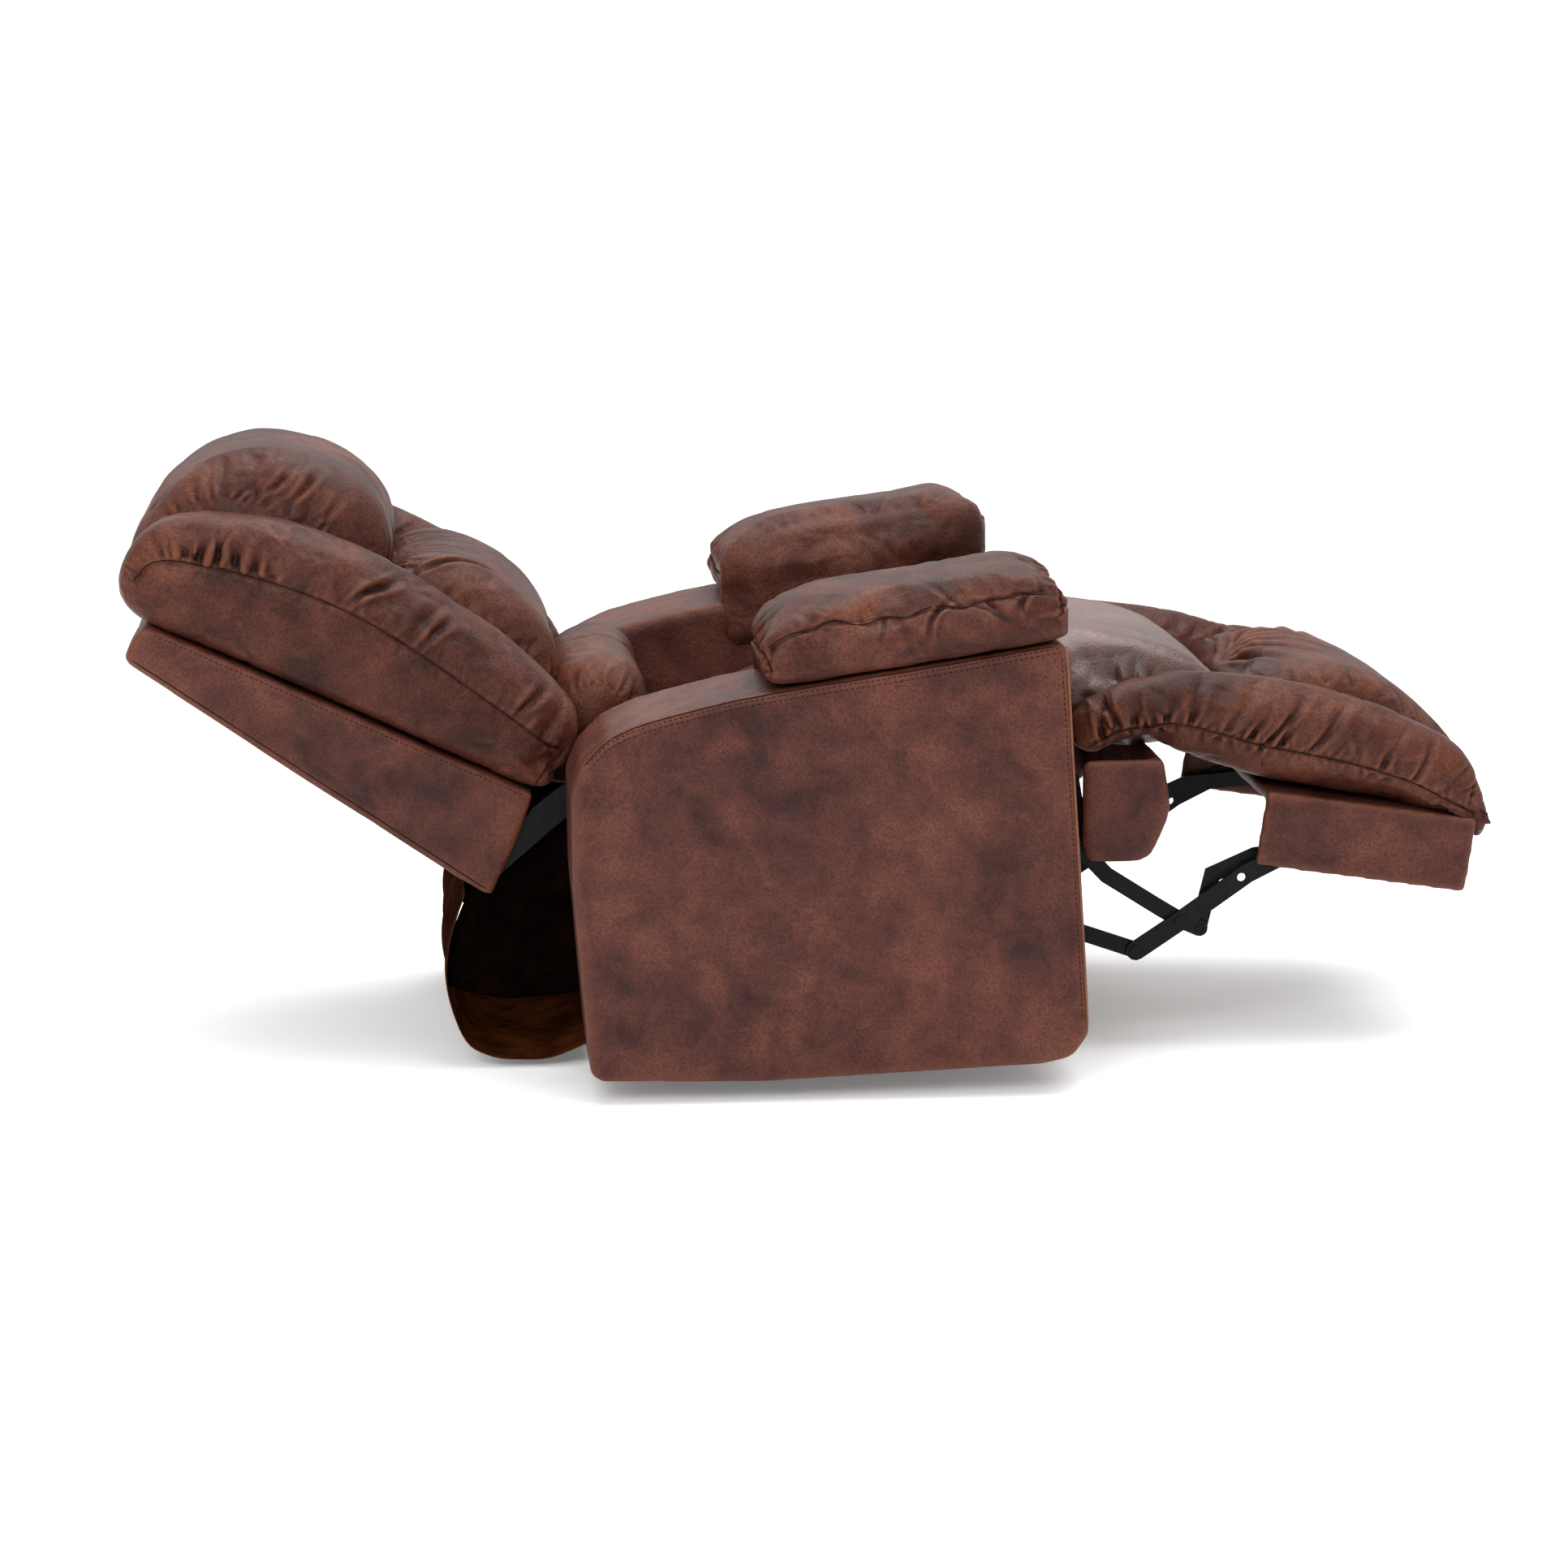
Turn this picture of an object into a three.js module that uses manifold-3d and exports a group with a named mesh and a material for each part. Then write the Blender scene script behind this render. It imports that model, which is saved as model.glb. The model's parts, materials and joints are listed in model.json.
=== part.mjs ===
// Rocker recliner armchair, drawn fully reclined with the footrest out.
// Millimetres. +X points to the feet, +Y to the sitter's left, +Z up, floor at z = 0.
import * as THREE from 'three';
import { mergeVertices } from 'three/addons/utils/BufferGeometryUtils.js';
import Module from 'manifold-3d';

const wasm = await Module();
wasm.setup();

// ---- driving dimensions -------------------------------------------------
const DEG = Math.PI / 180;
const GAP = 0.3;                       // air between pieces that rest on each other
const CENTRE_SHIFT = -25.56;           // brings the middle of the open chair over the origin

const ARM_OUTER = 490;                 // half width over the arm boxes
const ARM_INNER = 290;                 // half width between the arm boxes
const PAD_OUTER = 505;                 // half width over the arm pads
const BOARD = 12;                      // frame board thickness
const BACK_HALF_WIDTH = 300;
const BOLSTER_INNER = 195;
const BOLSTER_OUTER = 312;
const SEAT_HALF_WIDTH = 268;
const FOOTREST_HALF_WIDTH = 284;
const FOOTREST_PAD_HALF_WIDTH = 288;

const ROCK_HEIGHT = 72;                // rocking axis above the floor
const REST_LEAN = 3 * DEG;             // the body leans back on its rockers when reclined
const ROCKER_RADIUS = 1100;
const RUNNER_Y = [215, 245];
const ROCKER_Y = [217, 243];
const RUNNER_TOP = 70;
const GLIDE_HEIGHT = 12;
const STRETCHER_BOTTOM = 130;

const BACK_PIVOT = [-205, 415];
const BACK_LEAN = 34.5 * DEG;          // the back's own frame: x along it towards the seat, z out of it
const BACK_PIN_RADIUS = 8;

const FOOTREST_AXIS = [640, 395];      // the fold's virtual axis
const FOOTREST_SLOPE = 8.5 * DEG;
const TRACK_SLOPE = 8 * DEG;

// Footrest linkage pivots, two equal parallelograms.
const S1 = [311, 242];
const S2 = [371, 282];
const P1 = [451, 137];
const PX = [511, 177];
const P3 = [538, 165];
const Q1 = [780, 290];
const Q2 = [807, 278];
// Linkage layers, half widths from the middle plane.
const INNER_LAYER = [252, 256];
const MIDDLE_LAYER = [258, 262];
const OUTER_LAYER = [264, 268];
const BOLT_HEAD = 2.5;
const LINK_HALF_WIDTH = 11;
const PIN_RADIUS = 5;
const HOLE_RADIUS = 5.8;
const PIN_SIDES = 12;

const SIDES = [['right', -1], ['left', 1]];

// ---- finishes -----------------------------------------------------------
const finish = (color, roughness, metalness) => new THREE.MeshStandardMaterial({ color, roughness, metalness });
const leather = finish(0x4b2b21, 0.5, 0);
const wood = finish(0xb48a5c, 0.75, 0);
const steel = finish(0x17181b, 0.4, 0.8);
const suede = finish(0x7a3c1c, 0.95, 0);
const spring = finish(0x8c8f94, 0.35, 1);
const rubber = finish(0x111111, 0.8, 0);

// ---- shape helpers ------------------------------------------------------
const pointTowards = ([x, z], [tx, tz], distance) => {
  const length = Math.hypot(tx - x, tz - z);
  return [x + (tx - x) * distance / length, z + (tz - z) * distance / length];
};

// A closed outline in the XZ plane. A corner is [x, z] or [x, z, rounding]; a rounding keeps
// clear of the middle of its edges. The outline always runs anticlockwise.
function outline(points) {
  const clockwise = THREE.ShapeUtils.area(points.map(([x, y]) => ({ x, y }))) < 0;
  const corners = clockwise ? [...points].reverse() : points;
  const shape = new THREE.Shape();
  corners.forEach(([x, z, rounding = 0], i) => {
    const before = corners.at(i - 1);
    const after = corners[(i + 1) % corners.length];
    const shortEdge = Math.min(Math.hypot(x - before[0], z - before[1]), Math.hypot(x - after[0], z - after[1]));
    const reach = Math.min(rounding, 0.48 * shortEdge);
    const entry = pointTowards([x, z], before, reach);
    if (i === 0) shape.moveTo(...entry);
    else shape.lineTo(...entry);
    if (rounding) shape.quadraticCurveTo(x, z, ...pointTowards([x, z], after, reach));
  });
  shape.closePath();
  return shape;
}

function addHole(shape, [x, z], radius) {
  const hole = new THREE.Path();
  hole.absarc(x, z, radius, 0, 2 * Math.PI, true);
  shape.holes.push(hole);
}

// Extrudes an XZ shape across the chair between two y values.
function acrossChair(shape, yA, yB) {
  const geometry = new THREE.ExtrudeGeometry(shape, {
    depth: Math.abs(yB - yA),
    curveSegments: PIN_SIDES / 2,
    bevelEnabled: false,
  });
  geometry.rotateX(Math.PI / 2);
  geometry.translate(0, Math.max(yA, yB), 0);
  return geometry;
}

// A soft block with an XZ outline whose ends close in over a rounded edge.
function cushion(corners, yA, yB, edge) {
  const ring = outline(corners).getPoints(4).slice(0, -1);
  const middle = ring.reduce((sum, point) => sum.add(point), new THREE.Vector2()).divideScalar(ring.length);
  const end = [0, 1, 2, 3].map((step) => [1 - Math.cos(step * Math.PI / 6), 1 - Math.sin(step * Math.PI / 6)]);
  const [low, high] = [Math.min(yA, yB), Math.max(yA, yB)];
  const layers = [
    ...end.map(([inward, inset]) => [low + edge * inward, edge * inset]),
    ...end.reverse().map(([inward, inset]) => [high - edge * inward, edge * inset]),
  ];
  const positions = layers.flatMap(([y, inset]) => ring.flatMap((point) => {
    const spoke = point.clone().sub(middle);
    const moved = middle.clone().addScaledVector(spoke, 1 - inset / spoke.length());
    return [moved.x, y, moved.y];
  }));
  const count = ring.length;
  const lid = THREE.ShapeUtils.triangulateShape(ring, []);
  const top = (layers.length - 1) * count;
  const index = lid.flatMap(([a, b, c]) => [a, b, c, top + a, top + c, top + b]);
  for (let layer = 0; layer < layers.length - 1; layer += 1) {
    for (let i = 0; i < count; i += 1) {
      const [a, b] = [layer * count + i, layer * count + (i + 1) % count];
      index.push(a, a + count, b + count, a, b + count, b);
    }
  }
  const geometry = new THREE.BufferGeometry();
  geometry.setAttribute('position', new THREE.Float32BufferAttribute(positions, 3));
  geometry.setIndex(index);
  geometry.computeVertexNormals();
  return geometry;
}

function boxBetween([x0, x1], [y0, y1], [z0, z1]) {
  const geometry = new THREE.BoxGeometry(x1 - x0, Math.abs(y1 - y0), z1 - z0);
  geometry.translate((x0 + x1) / 2, (y0 + y1) / 2, (z0 + z1) / 2);
  return geometry;
}

// The outline of a bar of even width along a bent path, with round ends.
function barOutline(path, halfWidth) {
  const angle = (a, b) => Math.atan2(b[1] - a[1], b[0] - a[0]);
  const ahead = [];
  const behind = [];
  path.forEach((point, i) => {
    const into = angle(path[Math.max(i - 1, 0)], path[Math.max(i, 1)]);
    const out = angle(path[Math.min(i, path.length - 2)], path[Math.min(i + 1, path.length - 1)]);
    const bend = (out - into) / 2;
    const reach = halfWidth / Math.cos(bend);
    const normal = into + bend + Math.PI / 2;
    ahead.push([point[0] + reach * Math.cos(normal), point[1] + reach * Math.sin(normal)]);
    behind.unshift([point[0] - reach * Math.cos(normal), point[1] - reach * Math.sin(normal)]);
  });
  const roundEnd = (centre, start) => [1, 2, 3, 4, 5].map((step) => {
    const turn = start - step * Math.PI / 6;
    return [centre[0] + halfWidth * Math.cos(turn), centre[1] + halfWidth * Math.sin(turn)];
  });
  const last = path.at(-1);
  const endAngle = angle(path.at(-2), last);
  const startAngle = angle(path[0], path[1]);
  return outline([
    ...ahead, ...roundEnd(last, endAngle + Math.PI / 2),
    ...behind, ...roundEnd(path[0], startAngle - Math.PI / 2),
  ]);
}

// The outline of a thin strip that keeps to one side of a bent path.
function stripOutline(path, thickness) {
  const inner = path.map((point, i) => {
    const before = path[Math.max(i - 1, 0)];
    const after = path[Math.min(i + 1, path.length - 1)];
    const length = Math.hypot(after[0] - before[0], after[1] - before[1]);
    const normal = [(after[1] - before[1]) / length, -(after[0] - before[0]) / length];
    return [point[0] + normal[0] * thickness, point[1] + normal[1] * thickness];
  });
  return outline([...path, ...inner.reverse()]);
}

function toSolid(geometry) {
  const bare = geometry.clone();
  bare.deleteAttribute('normal');
  bare.deleteAttribute('uv');
  const merged = mergeVertices(bare, 1e-3);
  return new wasm.Manifold(new wasm.Mesh({
    numProp: 3,
    vertProperties: new Float32Array(merged.attributes.position.array),
    triVerts: new Uint32Array(merged.index.array),
  }));
}

function toGeometry(solid) {
  const mesh = solid.getMesh();
  const geometry = new THREE.BufferGeometry();
  geometry.setAttribute('position', new THREE.BufferAttribute(new Float32Array(mesh.vertProperties), 3));
  geometry.setIndex(new THREE.BufferAttribute(new Uint32Array(mesh.triVerts), 1));
  geometry.computeVertexNormals();
  return geometry;
}

const join = (...geometries) => toGeometry(geometries.map(toSolid).reduce((whole, piece) => whole.add(piece)));
const cut = (body, ...tools) => toGeometry(tools.map(toSolid).reduce((whole, tool) => whole.subtract(tool), toSolid(body)));

// A round pin across the chair, centred on a pivot.
function pinAt([x, z], radius, yA, yB) {
  const geometry = new THREE.CylinderGeometry(radius, radius, Math.abs(yB - yA), PIN_SIDES);
  geometry.translate(x, (yA + yB) / 2, z);
  return geometry;
}

function addPiece(group, name, geometry, material) {
  const mesh = new THREE.Mesh(geometry, material);
  mesh.name = name;
  group.add(mesh);
}

// ---- rocker base --------------------------------------------------------
function makeBase() {
  const group = new THREE.Group();
  const runnerX = [-270, 230];
  for (const [side, sign] of SIDES) {
    const runner = outline([
      [runnerX[0], GLIDE_HEIGHT + GAP, 10], [runnerX[1], GLIDE_HEIGHT + GAP, 10],
      [runnerX[1], RUNNER_TOP, 12], [runnerX[0], RUNNER_TOP, 12],
    ]);
    addPiece(group, `base_runner_${side}`, acrossChair(runner, sign * RUNNER_Y[0], sign * RUNNER_Y[1]), wood);
    for (const [end, x] of [['front', runnerX[1] - 30], ['rear', runnerX[0] + 30]]) {
      const glide = new THREE.CylinderGeometry(13, 14, GLIDE_HEIGHT, 24);
      glide.rotateX(Math.PI / 2);
      glide.translate(x, sign * (RUNNER_Y[0] + RUNNER_Y[1]) / 2, GLIDE_HEIGHT / 2);
      addPiece(group, `glide_${end}_${side}`, glide, rubber);
    }
  }
  const crossY = RUNNER_Y[0] - GAP;
  for (const [name, x] of [['front', 190], ['mid', 0], ['rear', -240]]) {
    const rail = boxBetween([x, x + 50], [-crossY, crossY], [RUNNER_TOP - 35, RUNNER_TOP]);
    addPiece(group, `base_${name}_rail`, rail, wood);
  }
  for (const [side, sign] of SIDES) {
    addPiece(group, `rocker_spring_${side}`, coilSpring(25, sign * 175, RUNNER_TOP + GAP, 57), spring);
  }
  return group;
}

// A compression spring standing on the middle base rail.
function coilSpring(x, y, bottom, height) {
  const wire = 2.4;
  const turns = 5;
  const stepsPerTurn = 10;
  const points = [];
  for (let step = 0; step <= turns * stepsPerTurn; step += 1) {
    const turn = step / stepsPerTurn * 2 * Math.PI;
    const z = wire + (height - 2 * wire) * step / (turns * stepsPerTurn);
    points.push(new THREE.Vector3(15 * Math.cos(turn), 15 * Math.sin(turn), z));
  }
  const section = new THREE.Shape();
  section.absarc(0, 0, wire, 0, 2 * Math.PI, false);
  const geometry = new THREE.ExtrudeGeometry(section, {
    extrudePath: new THREE.CatmullRomCurve3(points),
    steps: turns * stepsPerTurn,
    curveSegments: 3,
  });
  geometry.translate(x, y, bottom);
  return geometry;
}

// ---- body on the rockers: two arm boxes and their stretchers ------------
const ARM_TOP_EDGE = [[340, 580], [160, 558], [-6, 541], [-83, 531], [-186, 512], [-243, 495], [-301, 426]];

function makeChassis() {
  const pivot = new THREE.Group();
  pivot.position.z = ROCK_HEIGHT;
  pivot.rotation.y = -REST_LEAN;
  const group = new THREE.Group();
  group.position.z = -ROCK_HEIGHT;
  pivot.add(group);
  for (const [side, sign] of SIDES) {
    addArm(group, side, sign);
    addPiece(group, `rocker_${side}`, acrossChair(rockerOutline(), sign * ROCKER_Y[0], sign * ROCKER_Y[1]), wood);
  }
  const stretcherY = ARM_INNER - GAP;
  for (const [name, x] of [['mid', 10], ['rear', -245]]) {
    const bar = boxBetween([x, x + 30], [-stretcherY, stretcherY], [STRETCHER_BOTTOM, STRETCHER_BOTTOM + 38]);
    addPiece(group, `${name}_stretcher`, bar, wood);
  }
  return pivot;
}

// The rocker's lower edge is an arc that rolls above the runner.
function rockerOutline() {
  const half = 250;
  const low = RUNNER_TOP + 3;
  const arc = [];
  for (let step = -8; step <= 8; step += 1) {
    const x = half * step / 8;
    arc.push([x, low + ROCKER_RADIUS - Math.sqrt(ROCKER_RADIUS ** 2 - x ** 2)]);
  }
  const top = STRETCHER_BOTTOM - GAP;
  return outline([...arc, [half, top - 8], [half - 12, top], [-half + 12, top], [-half, top - 8]]);
}

function addArm(group, side, sign) {
  const sideWall = [
    [-290, 44, 14], [-59, 29], [318, 25, 38], [356, 62, 10],
    [342, 580, 4], ...ARM_TOP_EDGE.slice(1, -1), [-301, 426, 30],
  ];
  const innerWall = [
    [-258, 92, 10], [300, 92, 20], [353.5, 130, 10],
    [342, 580, 4], ...ARM_TOP_EDGE.slice(1, -1), [-301, 426, 30],
  ];
  const outer = acrossChair(outline(sideWall), sign * (ARM_OUTER - BOARD), sign * ARM_OUTER);
  addPiece(group, `arm_outer_panel_${side}`, outer, leather);
  const innerShape = outline(innerWall);
  addHole(innerShape, backPivotInChassis(), BACK_PIN_RADIUS + 1);
  const inner = acrossChair(innerShape, sign * ARM_INNER, sign * (ARM_INNER + BOARD));
  addPiece(group, `arm_inner_panel_${side}`, inner, leather);

  const fillY = [sign * (ARM_INNER + BOARD + GAP), sign * (ARM_OUTER - BOARD - GAP)];
  const front = outline([[341, 72], [353.3, 72], [340.6, 552], [328.6, 552]]);
  addPiece(group, `arm_front_panel_${side}`, acrossChair(front, ...fillY), leather);
  const top = stripOutline([...ARM_TOP_EDGE].reverse(), BOARD);
  addPiece(group, `arm_top_${side}`, acrossChair(top, ...fillY), leather);

  const pad = [
    [-56, 537, 20], [352, 583, 20], [364, 640, 36], [330, 681, 30],
    [150, 660, 60], [-30, 636, 34], [-62, 590, 26],
  ];
  addPiece(group, `arm_pad_${side}`, cushion(pad, sign * (ARM_INNER - 4), sign * PAD_OUTER, 22), leather);
}

// The back's pivot, turned into the level frame of the chassis.
function backPivotInChassis() {
  const [x, z] = [BACK_PIVOT[0], BACK_PIVOT[1] - ROCK_HEIGHT];
  return [
    x * Math.cos(REST_LEAN) + z * Math.sin(REST_LEAN),
    -x * Math.sin(REST_LEAN) + z * Math.cos(REST_LEAN) + ROCK_HEIGHT,
  ];
}

// Tracks for the seat and the loose cover behind it, both drawn at the reclined lean.
function makeChassisFittings() {
  const group = new THREE.Group();
  const along = (x) => [x, 279 + x * Math.tan(TRACK_SLOPE)];
  for (const [side, sign] of SIDES) {
    const bar = barOutline([along(-150), along(185)], 9);
    addPiece(group, `seat_track_${side}`, acrossChair(bar, sign * 259, sign * (ARM_INNER - GAP)), steel);
  }
  const hang = [
    [-441, 237], [-462, 172], [-467, 110], [-444, 40], [-410, 17],
    [-373, 12], [-330, 14], [-292, 30],
  ];
  addPiece(group, 'rear_flap', acrossChair(stripOutline(hang, -3), -285, 285), suede);
  return group;
}

// ---- back, in its own tilted frame --------------------------------------
const SIDE_TOP = { atBottom: [-97, -118], slope: 0.1713 };
const deckLine = (x) => SIDE_TOP.atBottom[1] + (x - SIDE_TOP.atBottom[0]) * SIDE_TOP.slope;

function makeBack() {
  const group = new THREE.Group();
  group.position.set(BACK_PIVOT[0], 0, BACK_PIVOT[1]);
  group.rotation.y = BACK_LEAN;
  addBackFrame(group);
  addBackCushions(group);
  return group;
}

function addBackFrame(group) {
  const rearFace = -267;
  const inside = BACK_HALF_WIDTH - BOARD - GAP;
  const panelTop = rearFace + BOARD;
  addPiece(group, 'back_panel', boxBetween([-627, -66], [-inside, inside], [rearFace, panelTop]), leather);
  const topRail = boxBetween([-627, -605], [-inside, inside], [panelTop + GAP, deckLine(-627) - 16]);
  addPiece(group, 'back_top_rail', topRail, wood);
  const bottomRail = boxBetween([-110, -88], [-250, 250], [panelTop + GAP, -150]);
  addPiece(group, 'back_bottom_rail', bottomRail, wood);
  const deck = outline([
    [-627, deckLine(-627) - 14], [-102, deckLine(-102) - 14],
    [-102, deckLine(-102) - 3], [-627, deckLine(-627) - 3],
  ]);
  addPiece(group, 'back_deck', acrossChair(deck, -inside, inside), wood);
  for (const [side, sign] of SIDES) {
    const wall = outline([[-627, rearFace, 8], [-62, rearFace, 4], SIDE_TOP.atBottom, [-632, deckLine(-632), 8]]);
    const panel = acrossChair(wall, sign * (BACK_HALF_WIDTH - BOARD), sign * BACK_HALF_WIDTH);
    addPiece(group, `back_side_${side}`, panel, leather);
    addPiece(group, `back_bracket_${side}`, backBracket(sign), steel);
  }
}

// Steel plate that hangs the back on the arm boxes, with its pivot pin.
function backBracket(sign) {
  const plate = outline([
    [-70, -235, 6], [-40, -120, 30], [13, -12, 10], [13, 10, 10], [-14, 13, 10],
    [-72, -98, 30], [-84, -140, 4], [-84, -235, 6],
  ]);
  const face = ARM_INNER - 4.5;
  return join(
    acrossChair(plate, sign * (face - 4), sign * face),
    pinAt([0, 0], BACK_PIN_RADIUS, sign * (face - 2), sign * (ARM_INNER + BOARD)),
  );
}

function addBackCushions(group) {
  const bolster = [
    [-645, deckLine(-645) + 3, 20], [-700, -176, 40], [-690, -66, 60], [-560, 12, 60], [-400, 34, 80],
    [-230, 30, 80], [-112, 8, 40], [-100, -45, 30], [-100, deckLine(-100) + 3, 12],
  ];
  for (const [side, sign] of SIDES) {
    addPiece(group, `back_bolster_${side}`, cushion(bolster, sign * BOLSTER_INNER, sign * BOLSTER_OUTER, 26), leather);
  }
  const halfWidth = BOLSTER_INNER - 3;
  const under = (x) => deckLine(x) + 3;
  const head = [
    [-640, under(-640), 20], [-706, -160, 50], [-676, 30, 80], [-560, 84, 60],
    [-450, 88, 50], [-404, 30, 40], [-404, under(-404), 10],
  ];
  const middle = [
    [-396, under(-396), 10], [-396, 40, 50], [-330, 66, 40],
    [-190, 72, 50], [-134, 40, 40], [-134, under(-134), 10],
  ];
  const lower = [
    [-126, under(-126), 10], [-126, 50, 40], [-96, 80, 30],
    [-44, 76, 30], [-26, 30, 30], [-26, -90, 10],
  ];
  for (const [name, corners] of [['head_pillow', head], ['middle_pillow', middle], ['lower_pillow', lower]]) {
    addPiece(group, name, cushion(corners, -halfWidth, halfWidth, 22), leather);
  }
}

// ---- seat ---------------------------------------------------------------
function makeSeat() {
  const group = new THREE.Group();
  for (const [side, sign] of SIDES) addPiece(group, `seat_plate_${side}`, seatPlate(sign), steel);
  const railY = INNER_LAYER[0] - GAP;
  addPiece(group, 'seat_rear_rail', boxBetween([-96, -66], [-railY, railY], [268, 312]), wood);
  addPiece(group, 'seat_front_rail', seatFrontRail(), leather);
  const deck = outline([[-104, 318], [366, 384], [366, 392], [-104, 326]]);
  addPiece(group, 'seat_deck', acrossChair(deck, -railY - 10, railY + 10), wood);
  const foam = [
    [-108, 330, 16], [374, 404, 4], [484, 406, 20], [492, 480, 40], [470, 536, 50],
    [380, 544, 60], [200, 504, 60], [-40, 442, 40], [-112, 418, 24],
  ];
  addPiece(group, 'seat_cushion', cushion(foam, -SEAT_HALF_WIDTH, SEAT_HALF_WIDTH, 20), leather);
  return group;
}

// Side plate of the seat: it slides on the track and carries the two fixed linkage pins.
function seatPlate(sign) {
  const plate = outline([
    [-100, 266, 8], [-40, 270], [290, 300], [298, 250, 8], [302, 228, 12], [322, 228, 12],
    [386, 270, 10], [386, 300, 10], [372, 378, 6], [-100, 312, 8],
  ]);
  const [inner, outer] = INNER_LAYER;
  const slider = boxBetween([40, 110], [sign * (outer - 2), sign * (outer + 26)], [307, 318]);
  return join(
    acrossChair(plate, sign * inner, sign * outer),
    slider,
    pinAt(S1, PIN_RADIUS, sign * (outer - 2), sign * (MIDDLE_LAYER[1] + 1)),
    pinAt(S2, PIN_RADIUS, sign * (outer - 2), sign * (MIDDLE_LAYER[1] + 1)),
  );
}

// Front rail with short return wings, open to the rear for the linkage.
function seatFrontRail() {
  const half = FOOTREST_HALF_WIDTH;
  const side = outline([[376, 262, 24], [462, 262, 20], [492, 330, 20], [480, 400, 6], [376, 396, 4]]);
  const hollow = boxBetween([300, 470], [-(half - 11), half - 11], [200, 500]);
  return cut(acrossChair(side, -half, half), hollow);
}

// ---- footrest, in its own sloping frame ---------------------------------
function makeFootrest() {
  const group = new THREE.Group();
  group.position.set(FOOTREST_AXIS[0], 0, FOOTREST_AXIS[1]);
  group.rotation.y = FOOTREST_SLOPE;
  const [rear, front] = [-10, 275];
  const [low, high] = [-142, -58];
  const half = FOOTREST_HALF_WIDTH;
  const outer = boxBetween([rear, front], [-half, half], [low, high]);
  const hollow = boxBetween([rear - 10, front - BOARD], [-(half - BOARD), half - BOARD], [low - 10, high + 10]);
  addPiece(group, 'footrest_frame', cut(outer, hollow), leather);
  addPiece(group, 'footrest_board', boxBetween([rear, front], [-half, half], [high + GAP, -44]), wood);
  const pad = [
    [-6, -41, 14], [282, -41, 14], [294, -24, 16], [262, 28, 24], [196, 76, 30],
    [134, 104, 30], [40, 100, 30], [-12, 92, 30],
  ];
  const padHalf = FOOTREST_PAD_HALF_WIDTH;
  addPiece(group, 'footrest_pad', cushion(pad, -padHalf, padHalf, 20), leather);
  for (const [side, sign] of SIDES) addPiece(group, `footrest_bracket_${side}`, footrestBracket(sign, high), steel);
  return group;
}

// A point given in the chair's frame, in the footrest's frame.
function inFootrest([x, z]) {
  const [dx, dz] = [x - FOOTREST_AXIS[0], z - FOOTREST_AXIS[1]];
  return [
    dx * Math.cos(FOOTREST_SLOPE) - dz * Math.sin(FOOTREST_SLOPE),
    dx * Math.sin(FOOTREST_SLOPE) + dz * Math.cos(FOOTREST_SLOPE),
  ];
}

function footrestBracket(sign, top) {
  const [q1, q2] = [inFootrest(Q1), inFootrest(Q2)];
  const plate = outline([
    [q1[0] - 16, q1[1] - 12, 10], [q2[0] + 4, q2[1] - 15, 10], [q2[0] + 18, q2[1] + 2, 10],
    [q2[0] + 34, top - GAP, 2], [q1[0] - 40, top - GAP, 2],
  ]);
  addHole(plate, q1, HOLE_RADIUS);
  addHole(plate, q2, HOLE_RADIUS);
  const [inner, outer] = MIDDLE_LAYER;
  const flange = boxBetween([q1[0] - 36, q2[0] + 30], [sign * (inner - 26), sign * (inner + 2)], [top - GAP - 3, top - GAP]);
  return join(acrossChair(plate, sign * inner, sign * outer), flange);
}

// ---- footrest linkage, each side ----------------------------------------
function makeLinkage() {
  const group = new THREE.Group();
  for (const [side, sign] of SIDES) {
    addPiece(group, `link_a_${side}`, plainLink([S1, [362, 168], P1], [S1, P1], sign), steel);
    addPiece(group, `link_c_${side}`, plainLink([S2, [411, 240], [480, 196], PX, P3], [S2, PX, P3], sign), steel);
    addPiece(group, `link_b_${side}`, longLink(sign), steel);
    addPiece(group, `link_d_${side}`, innerLink(sign), steel);
  }
  return group;
}

// A flat bar in the middle layer with pin holes.
function plainLink(path, holes, sign) {
  const shape = barOutline(path, LINK_HALF_WIDTH);
  holes.forEach((hole) => addHole(shape, hole, HOLE_RADIUS));
  return acrossChair(shape, sign * MIDDLE_LAYER[0], sign * MIDDLE_LAYER[1]);
}

// The long outer link carries three pins with bolt heads and one spare hole.
function longLink(sign) {
  const [inner, outer] = OUTER_LAYER;
  const shape = barOutline([P1, PX, [600, 240], [660, 270], Q1], LINK_HALF_WIDTH + 2);
  addHole(shape, [592, 235], HOLE_RADIUS);
  const pins = [P1, PX, Q1].flatMap((pivot) => [
    pinAt(pivot, PIN_RADIUS, sign * (MIDDLE_LAYER[0] - 1), sign * (inner + 2)),
    pinAt(pivot, PIN_RADIUS + 3, sign * (outer - 1), sign * (outer + BOLT_HEAD)),
  ]);
  return join(acrossChair(shape, sign * inner, sign * outer), ...pins);
}

// The inner link pushes the footrest bracket's second pivot.
function innerLink(sign) {
  const [inner, outer] = INNER_LAYER;
  const shape = barOutline([P3, [555, 237], [612, 262], Q2], LINK_HALF_WIDTH);
  const pins = [P3, Q2].map((pivot) => pinAt(pivot, PIN_RADIUS, sign * (outer - 2), sign * (MIDDLE_LAYER[1] + 1)));
  return join(acrossChair(shape, sign * inner, sign * outer), ...pins);
}

const chair = new THREE.Group();
chair.position.x = CENTRE_SHIFT;
chair.add(makeBase(), makeChassis(), makeChassisFittings(), makeBack(), makeSeat(), makeFootrest(), makeLinkage());

export default chair;
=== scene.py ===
"""Leather rocker recliner, fully reclined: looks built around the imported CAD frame. Metres."""
import json
import math

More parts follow.
